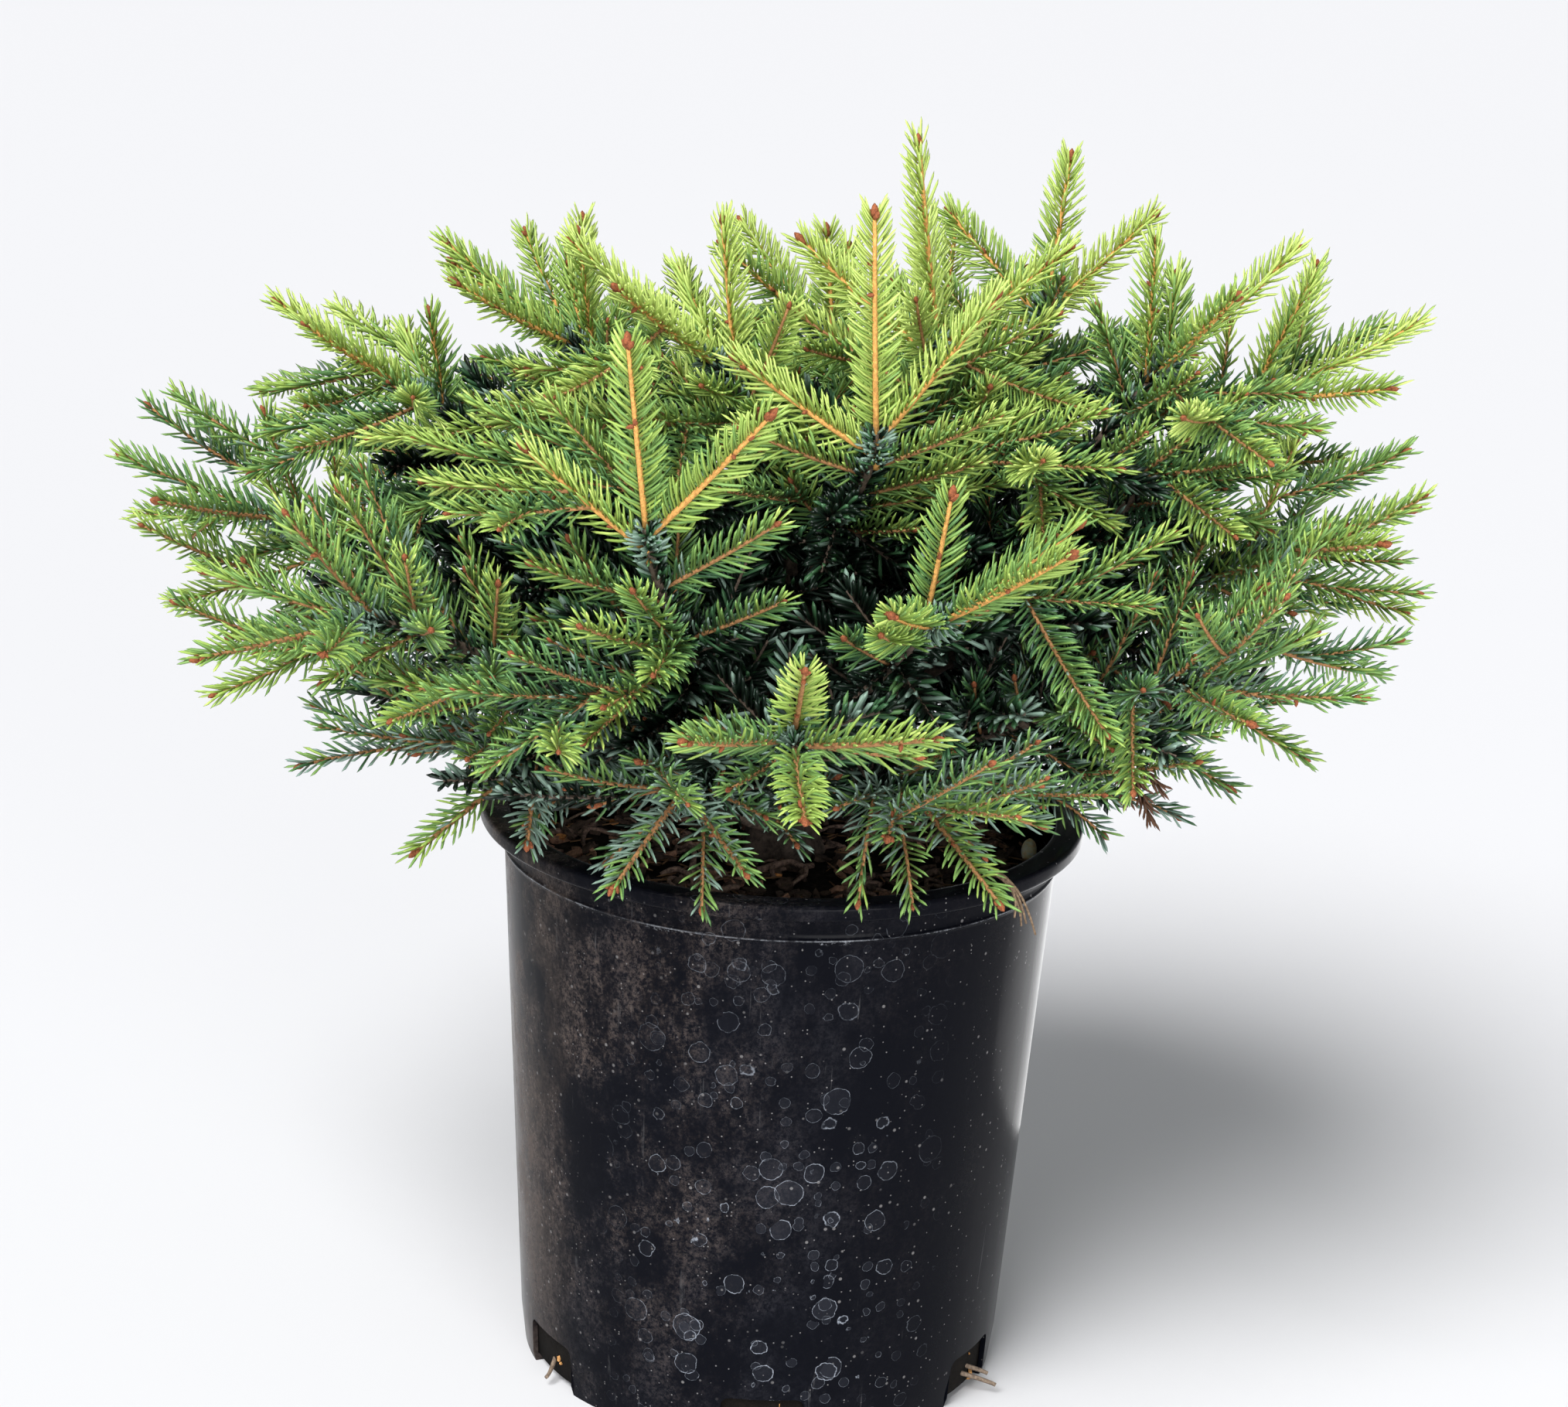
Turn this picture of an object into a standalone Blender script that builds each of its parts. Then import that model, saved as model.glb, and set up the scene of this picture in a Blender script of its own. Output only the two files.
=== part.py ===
"""Birds nest spruce in a black nursery pot.

Metres, +Z up. The origin is the centre of the pot's flat underside, and the plant's front
faces -Y. A bearing is an angle round the trunk in degrees, 0 towards the front and growing
towards +X. A rise is an angle above the level, in degrees.

The plant is a short trunk with a flare, boughs that leave it in tiers, and one mass of needles
past the end of each bough: a stem whose shoots branch by a seeded rule. Each shoot is a spray, a
slim three-sided core that its needles stand out of. A mass keeps to the space that lies nearer
to its own stem than to any other.
"""

import math
import random
from collections import namedtuple

import bmesh
import bpy
import numpy as np

# Pot
POT_HEIGHT = 0.223
LIP_RADIUS = 0.115
LIP_HEIGHT = 0.006
LIP_EDGE = 0.0012
NECK_RADIUS = 0.1060
FOOT_RADIUS = 0.0935
FOOT_CHAMFER = 0.0015
WALL = 0.002
FLOOR = 0.003
SEAM_DROP = 0.017
SEAM_PROUD = 0.0008
SEAM_HEIGHT = 0.0016
NOTCHES = 6
NOTCH_WIDTH = 0.031
NOTCH_HEIGHT = 0.0195
NOTCH_DEPTH = 0.014
NOTCH_BEARING = 2.0
POT_SIDES = 36
POT_FLAT = math.cos(math.pi / POT_SIDES)

# Soil
SOIL_LEVEL = 0.205
SOIL_EDGE_DROP = 0.004
SOIL_FLAT_RADIUS = 0.026
SOIL_RINGS = ((0.088, 0.0020), (0.066, 0.0008), (0.044, 0.0004))
SOIL_BUMP = 0.0016
SOIL_SIDES = 24

# Every two neighbours keep this gap, and points closer than a pinch are made one
GAP = 0.0003
PINCH = 0.0000025

# Trunk
TRUNK_TOP = 0.298
TRUNK_BASE_RADIUS = 0.0115
TRUNK_TOP_RADIUS = 0.0072
TRUNK_LEAN = (0.004, 0.003)
FLARE = 0.006
FLARE_HEIGHT = 0.012
FLARE_LOBES = 5
FLARE_LOBE_SHARE = 0.35
TRUNK_SIDES = 10
TRUNK_RINGS = 6

# Crown
SEED = 27
FORK = np.array((0.0, 0.0, 0.235))
BOUGH_SHARE = 0.42
BOUGH_SIDES = 5
BOUGH_RINGS = 4
BOUGH_ROOT_RADIUS = 0.0033
BOUGH_END_RADIUS = 0.0023
BOUGH_STAGGER = 0.004
LEADER_SLIMMER = 0.85
LEADER_SPOT_RADIUS = 0.0038
LEAVING_SHARE = 0.30
ARRIVING_SHARE = 0.22
STEM_RADIUS = 0.0021
STEM_TIP_RADIUS = 0.0014
STEM_SIDES = 3
STEM_RINGS = 4

# The nest: the crown dips in on this bearing, and it leans a little to -X
DENT_BEARING = 22
DENT_WIDTH = 46
DENT_DEPTH = 0.30
CROWN_LEAN = 0.045

# Shoots and their needles
SHOOT_SPREAD = 52
WHORL_STEP = 0.0026
OLDER_NODES = (0.80, 0.76, 0.63, 0.58)
CORE_RADIUS = 0.0017
CORE_TIP_RADIUS = 0.0009
NEEDLE_REACH = (0.0090, 0.0120, 0.0122, 0.0098)
NEEDLE_SWEEP = 0.0065
NEEDLE_RINGS = len(NEEDLE_REACH)
BARE_LENGTH = 0.0120
CORE_TURN = 22
BUD_LENGTH = 0.004
SHORTER = (1.0, 0.86, 0.72, 0.6, 0.5)
NEEDLE_GREEN = (0.12, 0.27, 0.05)

# Clearances that a shoot keeps while it grows
CELL_CLEARANCE = 0.0012
LIMB_CLEARANCE = 0.0010
LIP_CLEARANCE = 0.0015
SOIL_CLEARANCE = 0.003
TRUNK_CLEARANCE = 0.010
HANG_BELOW_LIP = 0.010

# One tier of boughs: its count, the first one's bearing and the arc that they share, the rise and
# reach of the whorl that ends each stem, the rise of the shoot past it, the height on the trunk,
# the shoots' length, how many of them leave the stem behind the whorl and how light their green is
Tier = namedtuple("Tier", "name count bearing arc rise reach tip_rise height shoot older green")
TIERS = (
    Tier("skirt", 7, -16, 360, 14, 0.132, -15, 0.2200, 0.052, 2, 0.60),
    Tier("low", 8, -92, 360, 23, 0.208, 6, 0.2400, 0.056, 4, 0.80),
    Tier("mid", 6, -21, 360, 40, 0.205, 34, 0.2600, 0.060, 4, 0.95),
    Tier("high", 4, 80, 240, 55, 0.200, 42, 0.2790, 0.055, 3, 1.00),
    Tier("leader", 3, 24, 360, 70, 0.168, 82, TRUNK_TOP, 0.066, 3, 1.05),
)

# Whorls that stand out: bearing, rise, reach, then bearing and rise of the shoot past them
STANDOUTS = {
    "skirt_7": (-56, 10, 0.113, -56, -30),
    "low_1": (-90, 25, 0.215, -92, 14),
    "low_4": (62, 21, 0.179, 68, 0),
    "low_5": (88, 29, 0.206, 90, 16),
    "mid_1": (-21, 42, 0.188, -30, 76),
    "mid_2": (27, 38, 0.150, 45, 30),
    "mid_3": (99, 40, 0.236, 108, 18),
    "mid_6": (-98, 43, 0.200, -104, 25),
    "high_1": (88, 51, 0.215, 100, 40),
    "high_2": (133, 53, 0.214, 150, 77),
    "high_3": (178, 52, 0.192, -134, 35),
    "high_4": (-104, 60, 0.183, -111, 27),
    "leader_1": (24, 66, 0.160, -40, 84),
    "leader_2": (92, 74, 0.176, -48, 77),
    "leader_3": (-70, 77, 0.165, -92, 36),
}

# Clearing the scene
for old_object in list(bpy.data.objects):
    bpy.data.objects.remove(old_object)


def unit(vector):
    return vector / np.linalg.norm(vector)


def heading(bearing, rise):
    """The unit vector with this bearing and rise."""
    turn, lift = math.radians(bearing), math.radians(rise)
    level = math.cos(lift)
    return np.array((math.sin(turn) * level, -math.cos(turn) * level, math.sin(lift)))


def finish_material(name, colour, roughness):
    material = bpy.data.materials.new(name)
    material.use_nodes = True
    shader = material.node_tree.nodes["Principled BSDF"]
    shader.inputs["Base Color"].default_value = (*colour, 1.0)
    shader.inputs["Roughness"].default_value = roughness
    return material


def new_object(name, points, faces, collection=None):
    """An object whose mesh has these points and faces, with its normals turned out."""
    mesh = bpy.data.meshes.new(name)
    mesh.from_pydata([tuple(point) for point in points], [], faces)
    shape = bmesh.new()
    shape.from_mesh(mesh)
    bmesh.ops.recalc_face_normals(shape, faces=shape.faces)
    shape.to_mesh(mesh)
    shape.free()
    made = bpy.data.objects.new(name, mesh)
    (collection or bpy.context.scene.collection).objects.link(made)
    return made


def dress(made, material, smooth_angle=None):
    made.data.materials.clear()
    made.data.materials.append(material)
    if smooth_angle is not None:
        made.data.shade_smooth()
        made.data.set_sharp_from_angle(angle=math.radians(smooth_angle))


def turned(profile, sides, bump=None):
    """Points and faces of a profile of (radius, height) turned round Z, from axis to axis."""
    points = [(0.0, 0.0, profile[0][1])]
    for ring, (radius, height) in enumerate(profile[1:-1]):
        for side in range(sides):
            angle = 2 * math.pi * side / sides
            lift = bump(ring, side) if bump else 0.0
            points.append((radius * math.cos(angle), radius * math.sin(angle), height + lift))
    points.append((0.0, 0.0, profile[-1][1]))
    rings = len(profile) - 2
    last = len(points) - 1
    faces = []
    for side in range(sides):
        following = (side + 1) % sides
        faces.append((0, 1 + following, 1 + side))
        for ring in range(rings - 1):
            here, above = 1 + ring * sides, 1 + (ring + 1) * sides
            faces.append((here + side, here + following, above + following, above + side))
        top = 1 + (rings - 1) * sides
        faces.append((last, top + side, top + following))
    return points, faces


# Building the pot


def wall_radius(height):
    """Outer radius of the pot's tapering wall at this height."""
    share = height / (POT_HEIGHT - LIP_HEIGHT)
    return FOOT_RADIUS + (NECK_RADIUS - FOOT_RADIUS) * share


def inner_radius(height):
    """Inner radius of the pot, straight from the floor to the top."""
    share = (height - FLOOR) / (POT_HEIGHT - FLOOR)
    foot = wall_radius(FLOOR) - WALL
    return foot + (NECK_RADIUS - WALL - foot) * share


def make_pot():
    seam = POT_HEIGHT - SEAM_DROP
    under_lip = POT_HEIGHT - LIP_HEIGHT
    profile = (
        (0.0, 0.0),
        (FOOT_RADIUS - FOOT_CHAMFER, 0.0),
        (wall_radius(FOOT_CHAMFER), FOOT_CHAMFER),
        (wall_radius(seam), seam),
        (wall_radius(seam) + SEAM_PROUD, seam + SEAM_HEIGHT / 2),
        (wall_radius(under_lip), under_lip),
        (LIP_RADIUS - LIP_EDGE, under_lip),
        (LIP_RADIUS, under_lip + LIP_EDGE),
        (LIP_RADIUS, POT_HEIGHT - LIP_EDGE),
        (LIP_RADIUS - LIP_EDGE, POT_HEIGHT),
        (inner_radius(POT_HEIGHT), POT_HEIGHT),
        (inner_radius(FLOOR), FLOOR),
        (0.0, FLOOR),
    )
    pot = new_object("pot", *turned(profile, POT_SIDES))
    dress(pot, finish_material("pot plastic", (0.012, 0.013, 0.016), 0.38), 40)
    cut = pot.modifiers.new("drainage notches", "BOOLEAN")
    cut.operation = "DIFFERENCE"
    cut.solver = "EXACT"
    cut.object = make_notch_cutter()


def make_notch_cutter():
    """One box for each drainage notch, across the wall and the floor's edge."""
    widths = (-NOTCH_WIDTH / 2, NOTCH_WIDTH / 2)
    depths = (FOOT_RADIUS - NOTCH_DEPTH, FOOT_RADIUS + NOTCH_DEPTH)
    heights = (-NOTCH_HEIGHT / 4, NOTCH_HEIGHT)
    corners = [(x, y, z) for x in widths for y in depths for z in heights]
    box = [(0, 1, 3, 2), (4, 6, 7, 5), (0, 4, 5, 1), (2, 3, 7, 6), (0, 2, 6, 4), (1, 5, 7, 3)]
    points, faces = [], []
    for notch in range(NOTCHES):
        outward = heading(NOTCH_BEARING + 360 * notch / NOTCHES, 0)
        along = np.array((-outward[1], outward[0], 0.0))
        start = len(points)
        points += [x * along + y * outward + np.array((0, 0, z)) for x, y, z in corners]
        faces += [tuple(start + corner for corner in face) for face in box]
    cutter = new_object("notch cutter", points, faces)
    cutter.hide_render = True
    cutter.display_type = "WIRE"
    return cutter


# Building the soil


def make_soil():
    draw = random.Random(SEED)
    foot = FLOOR + GAP
    edge = SOIL_LEVEL - SOIL_EDGE_DROP
    profile = (
        (0.0, foot),
        (inner_radius(foot) * POT_FLAT - GAP, foot),
        (inner_radius(edge) * POT_FLAT - GAP, edge),
        *((radius, SOIL_LEVEL - drop) for radius, drop in SOIL_RINGS),
        (SOIL_FLAT_RADIUS, SOIL_LEVEL),
        (0.0, SOIL_LEVEL),
    )
    bumpy_rings = (2, 3, 4)

    def bump(ring, side):
        return draw.uniform(-SOIL_BUMP, SOIL_BUMP) if ring in bumpy_rings else 0.0

    soil = new_object("soil", *turned(profile, SOIL_SIDES, bump))
    dress(soil, finish_material("soil", (0.030, 0.018, 0.012), 0.95), 60)


# Building the trunk


def trunk_share(height):
    return (height - SOIL_LEVEL) / (TRUNK_TOP - SOIL_LEVEL)


def trunk_centre(height):
    share = trunk_share(height)
    return np.array((TRUNK_LEAN[0] * share, TRUNK_LEAN[1] * share, height))


def trunk_radius(height, angle):
    """Radius at this height and angle from +X: a taper, and a lobed flare that dies away upwards."""
    flare = FLARE * math.exp(-(height - SOIL_LEVEL) / FLARE_HEIGHT)
    lobes = FLARE_LOBE_SHARE * (1 - math.cos(FLARE_LOBES * angle))
    taper = (TRUNK_TOP_RADIUS - TRUNK_BASE_RADIUS) * trunk_share(height)
    return TRUNK_BASE_RADIUS + taper + flare * (1 - lobes)


def make_trunk():
    base = SOIL_LEVEL + GAP
    heights = [base + (TRUNK_TOP - base) * share ** 1.5 for share in np.linspace(0, 1, TRUNK_RINGS)]
    points = []
    for height in heights:
        for side in range(TRUNK_SIDES):
            angle = 2 * math.pi * side / TRUNK_SIDES
            radius = trunk_radius(height, angle)
            out = np.array((math.cos(angle), math.sin(angle), 0.0))
            points.append(trunk_centre(height) + radius * out)
    faces = tube_faces(len(heights), TRUNK_SIDES)
    trunk = new_object("trunk", points, faces)
    dress(trunk, finish_material("trunk bark", (0.16, 0.11, 0.08), 0.9), 50)


# Limbs


def tube_faces(rings, sides):
    """Faces of a tube of rings of points, with a flat cap at each end."""
    faces = [tuple(range(sides)), tuple((rings - 1) * sides + side for side in range(sides))]
    for ring in range(rings - 1):
        for side in range(sides):
            here = ring * sides
            following = (side + 1) % sides
            faces.append((here + side, here + following, here + sides + following, here + sides + side))
    return faces


def frames_along(path, leaving=None):
    """Tangents of a path, and two unit vectors across each that don't twist from one to the next."""
    tangents = np.gradient(path, axis=0)
    if leaving is not None:
        tangents[0] = leaving
    tangents /= np.linalg.norm(tangents, axis=1)[:, None]
    guide = np.array((0.0, 0.0, 1.0)) if abs(tangents[0][2]) < 0.9 else np.array((0.0, 1.0, 0.0))
    across, upward = [], []
    for tangent in tangents:
        guide = unit(guide - tangent * np.dot(guide, tangent))
        upward.append(guide)
        across.append(np.cross(tangent, guide))
    return tangents, np.array(across), np.array(upward)


def tube_points(path, radii, sides, leaving=None):
    _, across, upward = frames_along(path, leaving)
    angles = 2 * np.pi * np.arange(sides) / sides
    rings = (
        path[:, None]
        + radii[:, None, None] * np.cos(angles)[None, :, None] * across[:, None]
        + radii[:, None, None] * np.sin(angles)[None, :, None] * upward[:, None]
    )
    return rings.reshape(-1, 3)


def curve_at(handles, shares):
    """Points of a cubic curve with four handles."""
    t = np.atleast_1d(shares)[:, None]
    start, leave, arrive, end = handles
    return (
        start * (1 - t) ** 3
        + leave * 3 * t * (1 - t) ** 2
        + arrive * 3 * t**2 * (1 - t)
        + end * t**3
    )


# One limb: its bough and the stem past it lie on one curve, and its whorl ends the stem
Limb = namedtuple("Limb", "name tier handles whorl tip shoot")


def spread(bearing):
    """How far the crown reaches on this bearing, as a share: less towards the nest's open side."""
    off = (bearing - DENT_BEARING + 180) % 360 - 180
    lean = 1 - CROWN_LEAN * math.sin(math.radians(bearing))
    return lean - DENT_DEPTH * math.exp(-((off / DENT_WIDTH) ** 2))


def grow_limb(tier, number):
    name = f"{tier.name}_{number + 1}"
    draw = random.Random(f"{SEED} {name}")
    bearing = tier.bearing + tier.arc * number / tier.count + draw.uniform(-5, 5)
    rise = tier.rise + draw.uniform(-4, 4)
    reach = tier.reach * spread(bearing) * draw.uniform(0.95, 1.05)
    tip_bearing = bearing + draw.uniform(-14, 14)
    tip_rise = tier.tip_rise + draw.uniform(-13, 13)
    if name in STANDOUTS:
        bearing, rise, reach, tip_bearing, tip_rise = STANDOUTS[name]
    whorl = FORK + reach * heading(bearing, rise)
    tip = heading(tip_bearing, tip_rise)
    if tier.name == "leader":
        spot = LEADER_SPOT_RADIUS * heading(30 + 120 * number, 0)
        root = trunk_centre(TRUNK_TOP) + spot + np.array((0, 0, GAP))
        leaving = np.array((0.0, 0.0, 1.0))
    else:
        height = tier.height + BOUGH_STAGGER * (number % 2)
        leaving = heading(bearing, 0)
        angle = math.radians(bearing - 90)
        root = trunk_centre(height) + leaving * (trunk_radius(height - BOUGH_ROOT_RADIUS, angle) + GAP)
    span = np.linalg.norm(whorl - root)
    handles = (root, root + leaving * span * LEAVING_SHARE, whorl - tip * span * ARRIVING_SHARE, whorl)
    return Limb(name, tier, handles, whorl, tip, tier.shoot)


LIMBS = [grow_limb(tier, number) for tier in TIERS for number in range(tier.count)]


def limb_path(limb, start, end, count):
    return curve_at(limb.handles, np.linspace(start, end, count))


def make_bough(limb):
    path = limb_path(limb, 0, BOUGH_SHARE, BOUGH_RINGS)
    radii = np.linspace(BOUGH_ROOT_RADIUS, BOUGH_END_RADIUS, BOUGH_RINGS)
    if limb.tier.name == "leader":
        radii = radii * LEADER_SLIMMER
    leaving = unit(limb.handles[1] - limb.handles[0])
    points = tube_points(path, radii, BOUGH_SIDES, leaving)
    bough = new_object(f"bough_{limb.name}", points, tube_faces(BOUGH_RINGS, BOUGH_SIDES))
    dress(bough, finish_material(f"bark of {limb.name}", (0.20, 0.13, 0.09), 0.85), 50)


# Space of each mass

BOUGH_LINES = [limb_path(limb, 0, BOUGH_SHARE, 14) for limb in LIMBS]
STEM_LINES = [limb_path(limb, BOUGH_SHARE, 1, 24) for limb in LIMBS]


def nearest(points, targets):
    """Distance from each point to the nearest target."""
    return np.sqrt(((points[:, None] - targets[None]) ** 2).sum(axis=2)).min(axis=1)


def clear_of_pot(points):
    """True where every point is over the soil and inside the lip, above the lip, or outside it."""
    radius = np.hypot(points[:, 0], points[:, 1])
    over_soil = (radius < NECK_RADIUS - WALL - SOIL_CLEARANCE) & (points[:, 2] > SOIL_LEVEL + SOIL_CLEARANCE)
    above = points[:, 2] > POT_HEIGHT + LIP_CLEARANCE
    outside = (radius > LIP_RADIUS + LIP_CLEARANCE) & (points[:, 2] > POT_HEIGHT - HANG_BELOW_LIP)
    return bool((over_soil | above | outside).all())


def clear_of_limbs(index, points):
    """True where every point is off the trunk, all boughs and the other masses' stems."""
    for line in BOUGH_LINES:
        if (nearest(points, line) < BOUGH_ROOT_RADIUS + LIMB_CLEARANCE).any():
            return False
    for number, line in enumerate(STEM_LINES):
        if number != index and (nearest(points, line) < STEM_RADIUS + LIMB_CLEARANCE).any():
            return False
    low = points[points[:, 2] < TRUNK_TOP + LIMB_CLEARANCE]
    return bool((np.hypot(low[:, 0], low[:, 1]) > TRUNK_BASE_RADIUS + TRUNK_CLEARANCE).all())


# Shoots

Shoot = namedtuple("Shoot", "root direction length curl turn")


def wanted_shoots(limb):
    """The shoots of one mass before any is shortened or skipped.

    One goes on past the whorl, two go to its sides and one rises from it. The rest leave older
    nodes on the stem, to one side and the other in turn.
    """
    draw = random.Random(f"{SEED} shoots {limb.name}")
    tip = limb.tip
    upright = abs(tip[2]) > 0.9
    side = unit(np.cross(tip, (0.0, 1.0, 0.0) if upright else (0.0, 0.0, 1.0)))
    lift = np.cross(side, tip)
    leads = [(limb.whorl - tip * WHORL_STEP, tip, 1.0)]
    for sign in (-1, 1):
        angle = math.radians(SHOOT_SPREAD + draw.uniform(-9, 7))
        outward = sign * side + lift * draw.uniform(-0.1, 0.35)
        root = limb.whorl - tip * WHORL_STEP * (2.5 + sign)
        leads.append((root, tip * math.cos(angle) + unit(outward) * math.sin(angle), 0.95))
    angle = math.radians(draw.uniform(42, 58))
    root = limb.whorl - tip * WHORL_STEP * 5
    leads.append((root, tip * math.cos(angle) + lift * math.sin(angle), 0.8))
    sign = draw.choice((-1, 1))
    for number, share in enumerate(OLDER_NODES[: limb.tier.older]):
        node, before = curve_at(limb.handles, (share, share - 0.02))
        along = unit(node - before)
        angle = math.radians(SHOOT_SPREAD + draw.uniform(0, 12))
        outward = sign * side + lift * draw.uniform(-0.3, 0.2)
        leads.append((node, along * math.cos(angle) + unit(outward) * math.sin(angle), 0.85))
        sign = -sign
    curl = -0.10 if limb.tier.name == "skirt" else 0.10
    shoots = []
    for root, direction, share in leads:
        length = limb.shoot * share * draw.uniform(0.9, 1.12)
        bend = curl * draw.uniform(0.2, 1.2)
        shoots.append(Shoot(root, unit(direction), length, bend, draw.uniform(0, 120)))
    return shoots


def shoot_axis(shoot, shares):
    """Points along a shoot, which bends up or down by its curl as it goes out."""
    t = np.atleast_1d(shares)[:, None]
    bend = np.array((0.0, 0.0, shoot.length * shoot.curl))
    return shoot.root + shoot.direction * shoot.length * t + bend * t**2


def spray_mesh(shoot):
    """A three-sided core, bare at its root, with each side of each ring drawn out to a needle."""
    bare = BARE_LENGTH / shoot.length
    shares = np.concatenate(([0.0], np.linspace(bare, 1.0, NEEDLE_RINGS + 1)))
    path = shoot_axis(shoot, shares)
    tangents, across, upward = frames_along(path)
    radii = CORE_RADIUS + (CORE_TIP_RADIUS - CORE_RADIUS) * shares
    points = []
    for ring in range(len(shares)):
        for side in range(3):
            angle = math.radians(120 * side + CORE_TURN * ring + shoot.turn)
            out = across[ring] * math.cos(angle) + upward[ring] * math.sin(angle)
            points.append(path[ring] + out * radii[ring])
    faces = [(2, 1, 0)]
    for side in range(3):
        following = (side + 1) % 3
        faces.append((side, following, 3 + following, 3 + side))
    for ring in range(1, len(shares) - 1):
        for side in range(3):
            following = (side + 1) % 3
            corners = (ring * 3 + side, ring * 3 + following, ring * 3 + 3 + following, ring * 3 + 3 + side)
            centre = np.mean([points[corner] for corner in corners], axis=0)
            middle = (path[ring] + path[ring + 1]) / 2
            sweep = NEEDLE_SWEEP * (0.7 + 0.3 * side)
            reach = NEEDLE_REACH[ring - 1]
            points.append(centre + unit(centre - middle) * reach + tangents[ring] * sweep)
            needle = len(points) - 1
            faces += [(corners[corner], corners[(corner + 1) % 4], needle) for corner in range(4)]
    end = (len(shares) - 1) * 3
    points.append(path[-1] + tangents[-1] * BUD_LENGTH)
    faces += [(end + side, end + (side + 1) % 3, len(points) - 1) for side in range(3)]
    return np.array(points), faces


def probe_points(shoot, points):
    """Where a spray is tested: its points, and more between its axis and its needles' ends."""
    axis = shoot_axis(shoot, np.linspace(0.15, 1, 12))
    ends = points[3 * (NEEDLE_RINGS + 2):]
    feet = axis[np.argmin(((ends[:, None] - axis[None]) ** 2).sum(axis=2), axis=1)]
    return np.vstack((axis, ends, feet * 0.5 + ends * 0.5, feet * 0.2 + ends * 0.8))


Grown = namedtuple("Grown", "limb axis probes own points faces")


def keeps_apart(trial, grown):
    """True where two sprays of different masses each stay nearer to their own axis."""
    return bool(
        (nearest(trial.probes, grown.axis) > trial.own + CELL_CLEARANCE).all()
        and (nearest(grown.probes, trial.axis) > grown.own + CELL_CLEARANCE).all()
    )


def grow_all():
    """Every spray of the plant, ranks in turn: all first shoots, then all second ones, and so on.

    Each is as long as it can be without leaving its mass's space, and is skipped if even its
    shortest form would leave it.
    """
    wanted = [wanted_shoots(limb) for limb in LIMBS]
    grown = []
    for rank in range(max(len(shoots) for shoots in wanted)):
        for index, shoots in enumerate(wanted):
            if rank >= len(shoots):
                continue
            for share in SHORTER:
                shoot = shoots[rank]._replace(length=shoots[rank].length * share)
                points, faces = spray_mesh(shoot)
                probes = probe_points(shoot, points)
                axis = shoot_axis(shoot, np.linspace(0, 1, 14))
                trial = Grown(index, axis, probes, nearest(probes, axis), points, faces)
                if not clear_of_limbs(index, probes) or not clear_of_pot(probes):
                    continue
                if all(keeps_apart(trial, other) for other in grown if other.limb != index):
                    grown.append(trial)
                    break
    return grown


# Masses


def keep_main_body(mesh):
    """Drops loose scraps, and the inner skin of any hollow that fusing sealed."""
    shape = bmesh.new()
    shape.from_mesh(mesh)
    bmesh.ops.triangulate(shape, faces=shape.faces)
    bmesh.ops.remove_doubles(shape, verts=shape.verts, dist=PINCH)
    left = set(shape.faces)
    bodies = []
    while left:
        body, front = set(), [left.pop()]
        while front:
            face = front.pop()
            body.add(face)
            for edge in face.edges:
                if len(edge.link_faces) != 2:
                    continue
                for neighbour in edge.link_faces:
                    if neighbour in left:
                        left.discard(neighbour)
                        front.append(neighbour)
        bodies.append(body)

    def volume(body):
        return sum(face.verts[0].co.dot(face.verts[1].co.cross(face.verts[2].co)) for face in body)

    main = max(bodies, key=volume)
    extra = [face for body in bodies if body is not main for face in body]
    bmesh.ops.delete(shape, geom=extra, context="FACES")
    shape.to_mesh(mesh)
    shape.free()


def make_mass(limb, grown):
    """One stem with its sprays joined on by one union."""
    path = limb_path(limb, BOUGH_SHARE, 1, STEM_RINGS)
    path[0] = path[0] + unit(path[1] - path[0]) * GAP
    radii = np.linspace(STEM_RADIUS, STEM_TIP_RADIUS, STEM_RINGS)
    stem_points = tube_points(path, radii, STEM_SIDES)
    stem = new_object(f"needles_{limb.name}", stem_points, tube_faces(STEM_RINGS, STEM_SIDES))
    sprays = bpy.data.collections.new(f"sprays of {limb.name}")
    bpy.context.scene.collection.children.link(sprays)
    for number, spray in enumerate(grown):
        new_object(f"spray {limb.name} {number}", spray.points, spray.faces, sprays)
    join = stem.modifiers.new("sprays", "BOOLEAN")
    join.operation = "UNION"
    join.operand_type = "COLLECTION"
    join.collection = sprays
    join.solver = "EXACT"
    with bpy.context.temp_override(object=stem, active_object=stem, selected_objects=[stem]):
        bpy.ops.object.modifier_apply(modifier=join.name)
    for spray in list(sprays.objects):
        bpy.data.objects.remove(spray)
    bpy.data.collections.remove(sprays)
    keep_main_body(stem.data)
    colour = tuple(channel * limb.tier.green for channel in NEEDLE_GREEN)
    dress(stem, finish_material(f"needles of {limb.name}", colour, 0.6))


make_pot()
make_soil()
make_trunk()
for limb in LIMBS:
    make_bough(limb)
all_grown = grow_all()
for index, limb in enumerate(LIMBS):
    make_mass(limb, [spray for spray in all_grown if spray.limb == index])
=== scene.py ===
import math
import random
from collections import namedtuple

import bpy
import numpy as np
from mathutils import Matrix, Vector


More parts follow.
